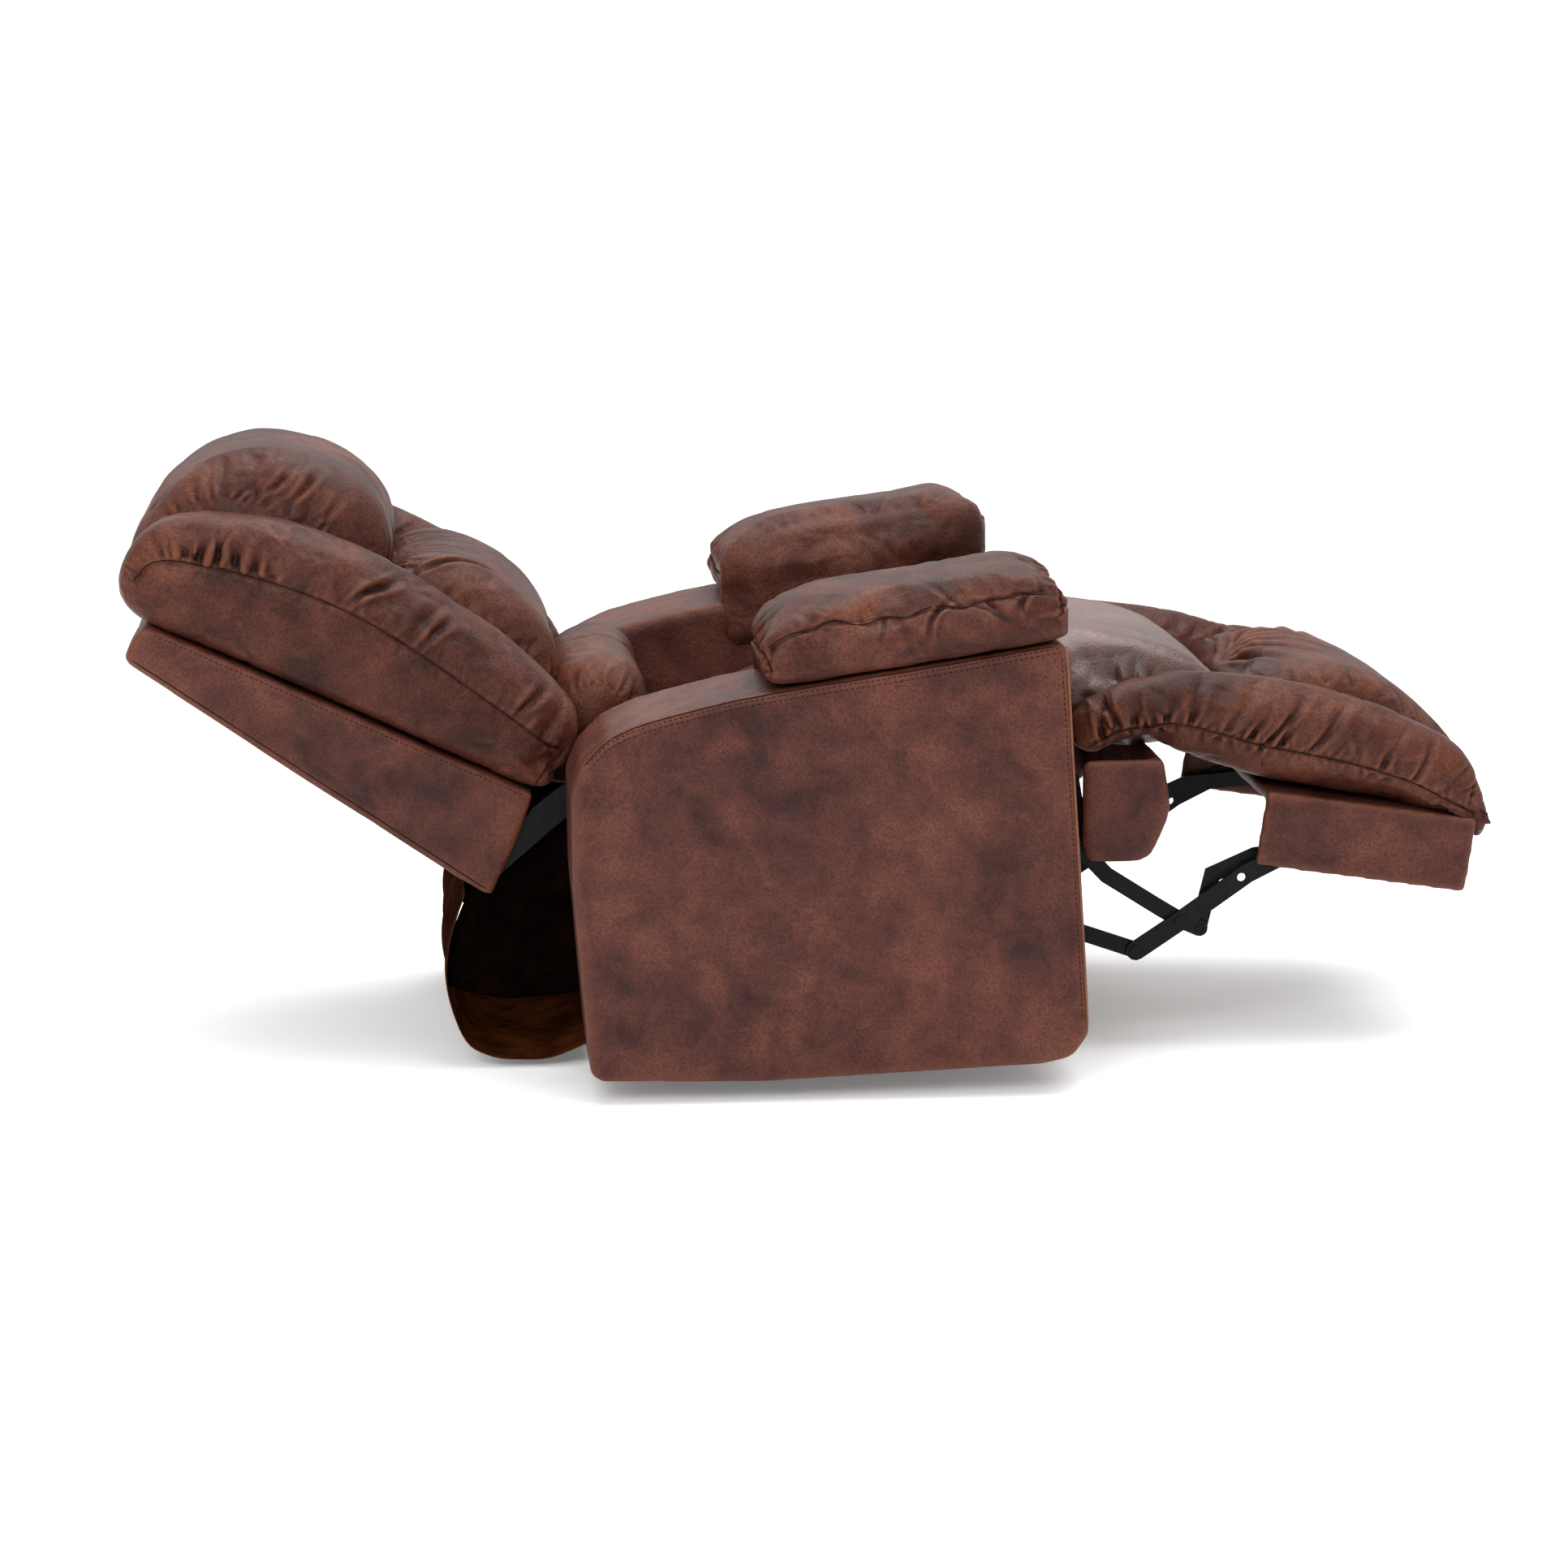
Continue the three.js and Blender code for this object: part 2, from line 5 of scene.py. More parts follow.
import bmesh
import bpy
import numpy as np
from mathutils import Matrix, Vector
from mathutils.bvhtree import BVHTree


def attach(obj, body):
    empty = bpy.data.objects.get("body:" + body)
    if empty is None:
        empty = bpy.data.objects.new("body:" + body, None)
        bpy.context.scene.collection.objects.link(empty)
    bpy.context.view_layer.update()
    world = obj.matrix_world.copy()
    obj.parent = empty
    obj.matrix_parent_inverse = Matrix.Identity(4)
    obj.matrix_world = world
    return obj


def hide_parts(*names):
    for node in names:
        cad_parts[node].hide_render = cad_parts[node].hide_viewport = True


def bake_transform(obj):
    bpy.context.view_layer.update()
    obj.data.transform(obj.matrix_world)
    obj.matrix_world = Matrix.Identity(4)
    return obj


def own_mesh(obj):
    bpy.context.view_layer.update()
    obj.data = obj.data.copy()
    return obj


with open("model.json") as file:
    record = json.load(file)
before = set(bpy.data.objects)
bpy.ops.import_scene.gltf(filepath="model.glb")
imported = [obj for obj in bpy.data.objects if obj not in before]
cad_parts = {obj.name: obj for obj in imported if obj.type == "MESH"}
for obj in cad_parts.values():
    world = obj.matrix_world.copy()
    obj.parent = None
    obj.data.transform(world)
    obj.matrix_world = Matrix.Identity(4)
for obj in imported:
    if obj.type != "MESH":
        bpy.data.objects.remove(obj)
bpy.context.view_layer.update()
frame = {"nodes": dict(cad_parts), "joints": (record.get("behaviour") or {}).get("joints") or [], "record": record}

MM = 0.001
JOINTS = {joint["name"]: joint for joint in frame["joints"]}
SIDES = (("right", -1), ("left", 1))

# ---- frames of the moving bodies (origin at the joint, x and z turned about Y) ----
BACK_LEAN = math.radians(34.5)
BODY_LEAN = math.radians(-3.0)


def local_frame(joint, turn):
    return Matrix.Translation(Vector(JOINTS[joint]["pos_m"])) @ Matrix.Rotation(turn, 4, "Y")


BACK = local_frame("back_recline", BACK_LEAN)
ROCK_POINT = Vector(JOINTS["rock"]["pos_m"])
# The body's own level frame: x from the rocking axis, z from the floor when it stands level.
BODY = (Matrix.Translation(ROCK_POINT) @ Matrix.Rotation(BODY_LEAN, 4, "Y")
        @ Matrix.Translation(Vector((0, 0, -ROCK_POINT.z))))
# The chair's frame with x from the rocking axis.
CHAIR = Matrix.Translation(Vector((ROCK_POINT.x, 0, 0)))

# ---- half widths across the chair, in millimetres ----
ARM_INNER, ARM_OUTER, PAD_OUTER = 289, 491, 505
SHELL_HALF = 301
ROLL_INNER, ROLL_OUTER = 188, 312
PILLOW_HALF = 194
CHAISE_INNER, CHAISE_OUTER = 186, 286
SEAT_HALF = 268


# ---- Curves and meshes ----
def run_along(points):
    """Distance run from the first point to each point."""
    return np.concatenate([[0], np.cumsum(np.linalg.norm(np.diff(points, axis=0), axis=1))])


def unit(vectors):
    return vectors / np.maximum(np.linalg.norm(vectors, axis=1, keepdims=True), 1e-9)


def between(a, b, c, d, t):
    """The smooth curve from b to c, with a before and d beyond."""
    return 0.5 * (2 * b + (c - a) * t + (2 * a - 5 * b + 4 * c - d) * t**2 + (3 * b - a - 3 * c + d) * t**3)


def closed_spline(points, spacing):
    """Smooth closed curve through 2-D points, evenly resampled."""
    p = np.array(points, float)
    before, after, beyond = np.roll(p, 1, 0), np.roll(p, -1, 0), np.roll(p, -2, 0)
    t = np.linspace(0, 1, 24, endpoint=False)[:, None, None]
    curve = between(before, p, after, beyond, t)
    return resample(curve.transpose(1, 0, 2).reshape(-1, 2), spacing)


def resample(loop, spacing):
    closed = np.vstack([loop, loop[:1]])
    run = run_along(closed)
    count = max(12, int(run[-1] / spacing))
    at = np.linspace(0, run[-1], count, endpoint=False)
    return np.stack([np.interp(at, run, closed[:, k]) for k in range(closed.shape[1])], 1)


def open_spline(points, spacing):
    """Smooth open curve through points of any dimension, evenly resampled."""
    p = np.array(points, float)
    padded = np.vstack([2 * p[0] - p[1], p, 2 * p[-1] - p[-2]])
    pieces = []
    t = np.linspace(0, 1, 24, endpoint=False)[:, None]
    for i in range(len(p) - 1):
        a, b, c, d = padded[i:i + 4]
        pieces.append(between(a, b, c, d, t))
    curve = np.vstack(pieces + [p[-1:]])
    run = run_along(curve)
    at = np.linspace(0, run[-1], max(4, int(run[-1] / spacing)))
    return np.stack([np.interp(at, run, curve[:, k]) for k in range(p.shape[1])], 1)


def inset_loop(loop, distance):
    """Moves a closed loop inwards along its normals."""
    along = np.roll(loop, -1, 0) - np.roll(loop, 1, 0)
    normal = unit(np.stack([along[:, 1], -along[:, 0]], 1))
    area = 0.5 * np.sum(loop[:, 0] * np.roll(loop[:, 1], -1) - np.roll(loop[:, 0], -1) * loop[:, 1])
    moved = loop - normal * distance * (1 if area > 0 else -1)
    for _ in range(int(distance / 6)):
        moved = 0.5 * moved + 0.25 * (np.roll(moved, 1, 0) + np.roll(moved, -1, 0))
    return moved


def link_object(name, data):
    obj = bpy.data.objects.new(name, data)
    bpy.context.scene.collection.objects.link(obj)
    return obj


def make_object(name, vertices, faces):
    mesh = bpy.data.meshes.new(name)
    mesh.from_pydata([tuple(v) for v in vertices], [], faces)
    mesh.validate()
    mesh.update()
    return link_object(name, mesh)


def loft(name, rings):
    """Closed body through rings of equal length, fanned shut at both ends."""
    rings = [np.asarray(r, float) for r in rings]
    count = len(rings[0])
    vertices = np.vstack(rings + [rings[0].mean(0)[None], rings[-1].mean(0)[None]]) * MM
    first, last = len(rings) * count, len(rings) * count + 1
    faces = []
    for k in range(len(rings) - 1):
        for i in range(count):
            j = (i + 1) % count
            faces.append((k * count + i, k * count + j, (k + 1) * count + j, (k + 1) * count + i))
    top = (len(rings) - 1) * count
    for i in range(count):
        j = (i + 1) % count
        faces.append((first, j, i))
        faces.append((last, top + i, top + j))
    return make_object(name, vertices, faces)


def pillow_rings(outline, low, high, round_low, round_high, lower_edge=None):
    """Side outlines across the chair from y low to high, closing in over rounded ends.
    lower_edge(loop, y) may reshape each ring."""
    loop = closed_spline(outline, 8)
    layers = []
    for step in range(7):
        turn = math.pi / 2 * step / 6
        layers.append((low + round_low * (1 - math.cos(turn)), round_low * (1 - math.sin(turn))))
    straight = np.linspace(low + round_low, high - round_high, max(3, int((high - low) / 25)))[1:-1]
    layers += [(y, 0.0) for y in straight]
    for step in range(6, -1, -1):
        turn = math.pi / 2 * step / 6
        layers.append((high - round_high * (1 - math.cos(turn)), round_high * (1 - math.sin(turn))))
    rings = []
    for y, inset in layers:
        ring = inset_loop(loop, inset)
        if lower_edge:
            ring = lower_edge(ring, y)
        rings.append(np.stack([ring[:, 0], np.full(len(ring), y), ring[:, 1]], 1))
    return rings


def evaluated_mesh(obj):
    graph = bpy.context.evaluated_depsgraph_get()
    return bpy.data.meshes.new_from_object(obj.evaluated_get(graph))


def apply_modifiers(obj):
    mesh = evaluated_mesh(obj)
    obj.modifiers.clear()
    old = obj.data
    obj.data = mesh
    bpy.data.meshes.remove(old)


def remesh(obj, voxel, smooth):
    """Even skin at the given voxel size (millimetres), lightly smoothed."""
    modifier = obj.modifiers.new("skin", "REMESH")
    modifier.mode = "VOXEL"
    modifier.voxel_size = voxel * MM
    relax = obj.modifiers.new("relax", "SMOOTH")
    relax.iterations = smooth
    relax.factor = 0.5
    apply_modifiers(obj)


def subdivide(obj):
    modifier = obj.modifiers.new("fine", "SUBSURF")
    modifier.levels = 1
    apply_modifiers(obj)


def coordinates(obj):
    co = np.empty(len(obj.data.vertices) * 3)
    obj.data.vertices.foreach_get("co", co)
    return co.reshape(-1, 3)


def normals(obj):
    obj.data.update()
    out = np.empty(len(obj.data.vertices) * 3)
    obj.data.vertices.foreach_get("normal", out)
    return out.reshape(-1, 3)


def set_coordinates(obj, co):
    obj.data.vertices.foreach_set("co", np.ascontiguousarray(co).reshape(-1))
    obj.data.update()


CLOTH_FRAMES = 20


def inflate(obj, pressure, grow, cap, held):
    """Cloth under pressure. grow lets the skin stretch so that it buckles; held(co) picks pinned points."""
    start = coordinates(obj)
    modifier = obj.modifiers.new("swell", "CLOTH")
    settings = modifier.settings
    settings.quality = 5
    settings.mass = 0.35
    settings.tension_stiffness = 15
    settings.compression_stiffness = 15
    settings.shear_stiffness = 8
    settings.bending_stiffness = 0.6
    settings.use_pressure = True
    settings.uniform_pressure_force = pressure
    settings.shrink_min = -grow
    settings.effector_weights.gravity = 0
    if held is not None:
        group = obj.vertex_groups.new(name="held")
        group.add([int(i) for i in np.nonzero(held(start / MM))[0]], 1.0, "REPLACE")
        settings.vertex_group_mass = "held"
    modifier.point_cache.frame_start = 1
    modifier.point_cache.frame_end = CLOTH_FRAMES
    scene = bpy.context.scene
    for step in range(1, CLOTH_FRAMES + 1):
        scene.frame_set(step)
    mesh = evaluated_mesh(obj)
    moved = np.empty(len(mesh.vertices) * 3)
    mesh.vertices.foreach_get("co", moved)
    shift = moved.reshape(-1, 3) - start
    reach = np.linalg.norm(shift, axis=1, keepdims=True)
    shift *= np.minimum(1, cap * MM / np.maximum(reach, 1e-9))
    obj.modifiers.clear()
    obj.vertex_groups.clear()
    bpy.data.meshes.remove(mesh)
    set_coordinates(obj, start + shift)
    scene.frame_set(1)


def fix_normals(obj):
    """Turns every face outwards."""
    work = bmesh.new()
    work.from_mesh(obj.data)
    bmesh.ops.recalc_face_normals(work, faces=work.faces)
    work.to_mesh(obj.data)
    work.free()


def soft_body(name, rings, sign, voxel, smooth, pressure, grow, cap, held=None):
    """A closed padded body: lofted, given an even skin, blown up as cloth and refined."""
    for ring in rings:
        ring[:, 1] *= sign
    obj = loft(name, rings)
    fix_normals(obj)
    remesh(obj, voxel, smooth)
    inflate(obj, pressure, grow, cap, held)
    subdivide(obj)
    return obj


def smoothstep(t):
    t = np.clip(t, 0, 1)
    return t * t * (3 - 2 * t)


def nearest_on(path, co):
    """Distance, run along the path, and offset vector from the path, for each point. Millimetres."""
    best = np.full(len(co), np.inf)
    run_at = np.zeros(len(co))
    offset = np.zeros((len(co), 3))
    run = 0.0
    for a, b in zip(path[:-1], path[1:]):
        line = b - a
        length = np.linalg.norm(line)
        t = np.clip(((co - a) @ line) / max(length**2, 1e-9), 0, 1)
        gap = co - (a + t[:, None] * line)
        distance = np.linalg.norm(gap, axis=1)
        closer = distance < best
        best[closer] = distance[closer]
        run_at[closer] = run + t[closer] * length
        offset[closer] = gap[closer]
        run += length
    return best, run_at, offset, run


def push(obj, amount):
    """Moves each point along its normal by amount (millimetres)."""
    set_coordinates(obj, coordinates(obj) + normals(obj) * (amount * MM)[:, None])


def snapped(obj, path, lift=0.0, spacing=6):
    """The path laid on the surface of a piece, lifted by some millimetres."""
    bpy.context.view_layer.update()
    tree = BVHTree.FromObject(obj, bpy.context.evaluated_depsgraph_get())
    spots = []
    for point in open_spline(path, spacing):
        place, normal, _, _ = tree.find_nearest(Vector(point) * MM)
        spots.append(np.array(place + normal * lift * MM) / MM)
    spots = np.array(spots)
    for _ in range(6):
        spots[1:-1] = 0.5 * spots[1:-1] + 0.25 * (spots[:-2] + spots[2:])
    return spots


def seam_groove(obj, path, depth=3.0, width=3.0, pull=0.0, pull_width=22.0):
    """A sewn line: a sharp groove, with an optional broad pull around it."""
    distance, _, _, _ = nearest_on(snapped(obj, path), coordinates(obj) / MM)
    push(obj, -depth * np.exp(-(distance / width) ** 2) - pull * np.exp(-(distance / pull_width) ** 2))


def crease_profile(across):
    """A sharp valley with a soft heap of leather on both sides."""
    valley = np.exp(-np.abs(across) ** 1.35 * 1.3)
    heap = np.exp(-((np.abs(across) - 1.9) ** 2) / 0.9)
    return -valley + 0.42 * heap


def gathers(obj, path, towards, spacing, depth, length, width, seed, slant=0.3, strength=None, at=None):
    """Pleats that start at a sewn line and die out on the side that towards points to. Spacing,
    depth, length and width are in millimetres, and slant is how far the pleats lean at random.
    strength(run share) scales them along the line; at lists the run shares where pleats are wanted."""
    rng = np.random.default_rng(seed)
    path = snapped(obj, path)
    co = coordinates(obj) / MM
    distance, run_at, offset, total = nearest_on(path, co)
    side = offset @ np.array(towards, float)
    on_side = smoothstep((side + 3) / 6)
    if at is None:
        steps = np.cumsum(spacing * rng.uniform(0.5, 1.5, int(2.2 * total / spacing) + 2))
        places = [place / total for place in steps if place < total]
        sizes = rng.uniform(0.4, 1.0, len(places))
    else:
        places = list(at)
        sizes = rng.uniform(0.8, 1.1, len(places))
    amount = np.zeros(len(co))
    for place, size in zip(places, sizes):
        if strength:
            size = size * strength(place)
        reach = length * rng.uniform(0.55, 1.15) * (0.45 + 0.55 * size)
        lean = rng.normal(0, slant)
        wobble = 1.6 * np.sin(distance / rng.uniform(9, 16) + rng.uniform(0, 6))
        wide = width * rng.uniform(0.7, 1.3) * (0.8 + 0.9 * distance / reach)
        across = (run_at - place * total - lean * distance - wobble) / wide
        fade = (1 - smoothstep(distance / reach)) * (0.15 + 0.85 * smoothstep(distance / 8))
        amount += size * depth * crease_profile(across) * fade * (np.abs(across) < 5)
    push(obj, amount * on_side)


def fold(obj, path, depth, width, start=0.35):
    """One soft crease along a line, fading at its ends, with leather heaped beside it."""
    distance, run_at, _, total = nearest_on(snapped(obj, path), coordinates(obj) / MM)
    share = run_at / total
    ends = smoothstep(share / start) * smoothstep((1 - share) / 0.55)
    wide = width * (0.7 + 0.8 * share)
    push(obj, depth * crease_profile(distance / wide) * ends * (distance < 5 * wide))


RIDGE_SHARPNESS = 5.0


def slack_creases(obj, depth, cell, seed):
    """A loose net of fine creases in slack leather. cell is one size, or one for each of x, y and z."""
    co = coordinates(obj) / MM
    warp = 0.35 * np.mean(cell) * value_noise(co, np.mean(cell) * 1.7, seed + 50)[:, None]
    ridge = 1 - np.abs(value_noise(co + warp, np.array(cell, float), seed))
    patchy = smoothstep(0.5 + 0.9 * value_noise(co, np.mean(cell) * 3.1, seed + 90))
    push(obj, -depth * ridge ** RIDGE_SHARPNESS * patchy)


# Large primes that scatter whole-number cells over the noise table.
HASH_X, HASH_Y, HASH_Z = 73856093, 19349663, 83492791


def value_noise(co, cell, seed):
    """Smooth noise, about -1 to 1, with the given cell size in millimetres."""
    rng = np.random.default_rng(seed)
    table = rng.uniform(-1, 1, 4096)
    q = co / cell
    base = np.floor(q).astype(int)
    f = q - base
    f = f * f * (3 - 2 * f)
    total = np.zeros(len(co))
    for dx in (0, 1):
        for dy in (0, 1):
            for dz in (0, 1):
                corner = base + (dx, dy, dz)
                key = corner[:, 0] * HASH_X ^ corner[:, 1] * HASH_Y ^ corner[:, 2] * HASH_Z
                weight = ((f[:, 0] if dx else 1 - f[:, 0]) * (f[:, 1] if dy else 1 - f[:, 1])
                          * (f[:, 2] if dz else 1 - f[:, 2]))
                total += weight * table[key % 4096]
    return total


def ripple(obj, height, cell, seed):
    """Slight unevenness of leather over padding."""
    push(obj, height * value_noise(coordinates(obj) / MM, cell, seed))


# ---- Materials ----
class Nodes:
    """Short-hand for building one material's node tree."""

    def __init__(self, name):
        self.material = bpy.data.materials.new(name)
        self.material.use_nodes = True
        self.tree = self.material.node_tree
        self.tree.nodes.clear()
        self.output = self.add("ShaderNodeOutputMaterial")
        self.shader = self.add("ShaderNodeBsdfPrincipled")
        self.link(self.shader.outputs[0], self.output.inputs[0])
        self.position = self.add("ShaderNodeTexCoord").outputs["Object"]

    def add(self, kind, **values):
        node = self.tree.nodes.new(kind)
        for key, value in values.items():
            setattr(node, key, value)
        return node

    def value(self, socket, value):
        self.shader.inputs[socket].default_value = value

    def link(self, a, b):
        self.tree.links.new(a, b)

    def noise(self, scale, detail=3.0, rough=0.55, distortion=0.0):
        node = self.add("ShaderNodeTexNoise")
        values = {"Scale": scale, "Detail": detail, "Roughness": rough, "Distortion": distortion}
        for socket, value in values.items():
            node.inputs[socket].default_value = value
        self.link(self.position, node.inputs["Vector"])
        return node.outputs[0]

    def cells(self, scale):
        node = self.add("ShaderNodeTexVoronoi", feature="SMOOTH_F1")
        node.inputs["Scale"].default_value = scale
        self.link(self.position, node.inputs["Vector"])
        return node.outputs["Distance"]

    def ramp(self, source, stops):
        node = self.add("ShaderNodeValToRGB")
        self.link(source, node.inputs[0])
        while len(node.color_ramp.elements) < len(stops):
            node.color_ramp.elements.new(0.5)
        for element, (place, colour) in zip(node.color_ramp.elements, stops):
            element.position = place
            element.color = (*colour, 1) if hasattr(colour, "__len__") else (colour, colour, colour, 1)
        return node.outputs[0]

    def mix(self, share, a, b, kind="MIX"):
        node = self.add("ShaderNodeMix", data_type="RGBA", blend_type=kind)
        for socket, value in ((node.inputs[0], share), (node.inputs[6], a), (node.inputs[7], b)):
            if hasattr(value, "is_linked"):
                self.link(value, socket)
            elif hasattr(value, "__len__"):
                socket.default_value = (*value, 1)
            else:
                socket.default_value = value
        return node.outputs[2]

    def math(self, operation, a, b):
        node = self.add("ShaderNodeMath", operation=operation)
        for socket, value in ((node.inputs[0], a), (node.inputs[1], b)):
            if hasattr(value, "is_linked"):
                self.link(value, socket)
            else:
                socket.default_value = value
        return node.outputs[0]

    def bump(self, heights):
        """Chains (height socket, strength, distance in metres) into the shader's normal."""
        last = None
        for height, strength, distance in heights:
            node = self.add("ShaderNodeBump")
            node.inputs["Strength"].default_value = strength
            node.inputs["Distance"].default_value = distance
            self.link(height, node.inputs["Height"])
            if last is not None:
                self.link(last, node.inputs["Normal"])
            last = node.outputs[0]
        self.link(last, self.shader.inputs["Normal"])


def leather_material(name, dark, middle, light, wear, gloss=(0.38, 0.54), specular=0.16, coat=0.02,
                     grain_height=0.0006):
    """Two-tone antique leather: broad mottling, fine pebble grain, rubbed ridges, and painted shade darkening the
    creases.
    """
    m = Nodes(name)
    broad = m.noise(5.0, 3.0, 0.55, 0.7)
    patch = m.noise(17.0, 5.0, 0.62, 0.4)
    cloud = m.mix(0.5, broad, patch)
    tone = m.ramp(cloud, [(0.37, dark), (0.5, middle), (0.62, light)])
    grain_cells = m.cells(340.0)
    grain_noise = m.noise(560.0, 2.0, 0.6)
    speck = m.ramp(m.mix(0.5, grain_cells, grain_noise), [(0.28, 1.22), (0.60, 0.55)])
    tone = m.mix(0.85, tone, speck, "MULTIPLY")
    pointiness = m.add("ShaderNodeNewGeometry").outputs["Pointiness"]
    rub = m.ramp(pointiness, [(0.505, 0.0), (0.57, 1.0)])
    tone = m.mix(m.math("MULTIPLY", rub, 0.5), tone, wear)
    # Painted shade: where pointiness is low, in creases and hollows, the colour is darkened.
    crease = m.ramp(pointiness, [(0.43, 0.30), (0.49, 1.0)])
    tone = m.mix(1.0, tone, crease, "MULTIPLY")
    m.link(tone, m.shader.inputs["Base Color"])
    shine = m.ramp(m.mix(0.5, m.noise(34.0, 4.0, 0.65), grain_noise), [(0.35, gloss[0]), (0.65, gloss[1])])
    m.link(shine, m.shader.inputs["Roughness"])
    m.value("Specular IOR Level", specular)
    m.value("Coat Weight", coat)
    m.value("Coat Roughness", 0.30)
    wrinkle = m.noise(85.0, 4.0, 0.65, 0.9)
    folds = m.ramp(m.noise(30.0, 3.0, 0.55, 1.2), [(0.40, 1.0), (0.495, 0.0), (0.505, 0.0), (0.60, 1.0)])
    m.bump([(folds, 0.22, 0.0011), (wrinkle, 0.4, 0.0012), (grain_cells, 0.6, grain_height),
            (grain_noise, 0.35, grain_height)])
    return m.material


def steel_material():
    m = Nodes("black_steel_paint")
    patch = m.noise(60.0, 4.0, 0.7)
    tone = m.ramp(patch, [(0.35, (0.002, 0.0022, 0.0026)), (0.7, (0.006, 0.0066, 0.008))])
    m.link(tone, m.shader.inputs["Base Color"])
    m.link(m.ramp(patch, [(0.3, 0.36), (0.75, 0.55)]), m.shader.inputs["Roughness"])
    m.value("Specular IOR Level", 0.11)
    m.bump([(m.noise(900.0, 2.0, 0.6), 0.25, 0.0002)])
    return m.material


def wood_material():
    m = Nodes("frame_wood_grain")
    stretch = m.add("ShaderNodeMapping")
    m.link(m.position, stretch.inputs["Vector"])
    stretch.inputs["Scale"].default_value = (1.0, 0.08, 1.0)
    rings = m.add("ShaderNodeTexNoise")
    rings.inputs["Scale"].default_value = 120.0
    rings.inputs["Detail"].default_value = 5.0
    m.link(stretch.outputs[0], rings.inputs["Vector"])
    tone = m.ramp(rings.outputs[0], [(0.3, (0.24, 0.13, 0.06)), (0.55, (0.42, 0.26, 0.13)),
                                     (0.75, (0.5, 0.34, 0.19))])
    m.link(tone, m.shader.inputs["Base Color"])
    m.value("Roughness", 0.7)
    m.bump([(rings.outputs[0], 0.2, 0.0005)])
    return m.material


def cloth_material(name, dark, light):
    """Napped backing or dust cloth: fine fibres and soft patches."""
    m = Nodes(name)
    m.link(m.ramp(m.noise(26.0, 5.0, 0.65), [(0.35, dark), (0.68, light)]), m.shader.inputs["Base Color"])
    m.value("Roughness", 0.95)
    m.value("Specular IOR Level", 0.0)
    m.bump([(m.noise(700.0, 3.0, 0.7), 0.5, 0.0005)])
    return m.material


def plain_material(name, low, high, rough, metal=0.0):
    m = Nodes(name)
    m.link(m.ramp(m.noise(140.0, 3.0), [(0.3, low), (0.7, high)]), m.shader.inputs["Base Color"])
    m.value("Roughness", rough)
    m.value("Metallic", metal)
    m.bump([(m.noise(600.0, 2.0), 0.15, 0.0002)])
    return m.material


PANEL_LEATHER = leather_material(
    "panel_leather_antique",
    dark=(0.030, 0.0080, 0.0062), middle=(0.072, 0.0205, 0.0146),
    light=(0.110, 0.0345, 0.0212), wear=(0.17, 0.058, 0.030))
CUSHION_LEATHER = leather_material(
    "cushion_leather_antique",
    dark=(0.029, 0.0085, 0.0060), middle=(0.065, 0.0192, 0.0128),
    light=(0.110, 0.0355, 0.0200), wear=(0.17, 0.062, 0.032),
    gloss=(0.35, 0.50), specular=0.11, coat=0.015)
# Painted sheen: this base is lighter than the cushion leather to stand in for the sheen on the seat's top; the
# rubbed ridges are wear.
SEAT_LEATHER_PAINTED_SHEEN = leather_material(
    "seat_leather_painted_sheen",
    dark=(0.043, 0.0140, 0.0100), middle=(0.084, 0.0300, 0.0210),
    light=(0.128, 0.0500, 0.0330), wear=(0.19, 0.080, 0.045),
    gloss=(0.32, 0.46), specular=0.48, coat=0.18)
# Painted shade: a near-black base for the flap's outer face, which sits in shadow behind the arms.
FLAP_LEATHER_PAINTED_SHADE = leather_material(
    "flap_leather_painted_shade",
    dark=(0.012, 0.0035, 0.0025), middle=(0.024, 0.0075, 0.005),
    light=(0.040, 0.013, 0.008), wear=(0.06, 0.022, 0.012),
    gloss=(0.55, 0.7), specular=0.0, coat=0.0)
RUBBED_EDGE = leather_material(
    "rubbed_leather_edge",
    dark=(0.07, 0.021, 0.011), middle=(0.12, 0.038, 0.019),
    light=(0.17, 0.060, 0.030), wear=(0.22, 0.09, 0.045))
STEEL = steel_material()
WOOD = wood_material()
SUEDE = cloth_material("suede_back", (0.020, 0.005, 0.0015), (0.060, 0.017, 0.005))
# Black lining cloth with its base pushed far below real cloth: partly its own black, partly painted shade inside
# the chair between the arms and the back.
LINING_PAINTED_SHADE = cloth_material("black_lining_painted_shade", (0.0008, 0.0004, 0.0004), (0.004, 0.0016, 0.0012))
RUBBER = plain_material("glide_rubber_matte", 0.008, 0.02, 0.8)
SPRING = plain_material("spring_wire", 0.3, 0.45, 0.3, 1.0)
THREAD = cloth_material("dark_thread", (0.014, 0.005, 0.004), (0.035, 0.014, 0.010))


# ---- Placing finished pieces ----
def finish_piece(obj, place, material, body=None, blend=None, replaces=()):
    """Puts a piece in the chair's place and dresses it; attaches it to its body, or, when a blend is given, only
    bakes its place in.
    """
    obj.data.transform(place)
    obj.data.materials.clear()
    obj.data.materials.append(material)
    obj.data.shade_smooth()
    if blend:
        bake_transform(obj)
    else:
        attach(obj, body)
    if replaces:
        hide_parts(*replaces)
    return obj


# No seam runs along this direction, so it can set every ring's turn.
ODD_DIRECTION = np.array([0.13, 0.31, 0.94])


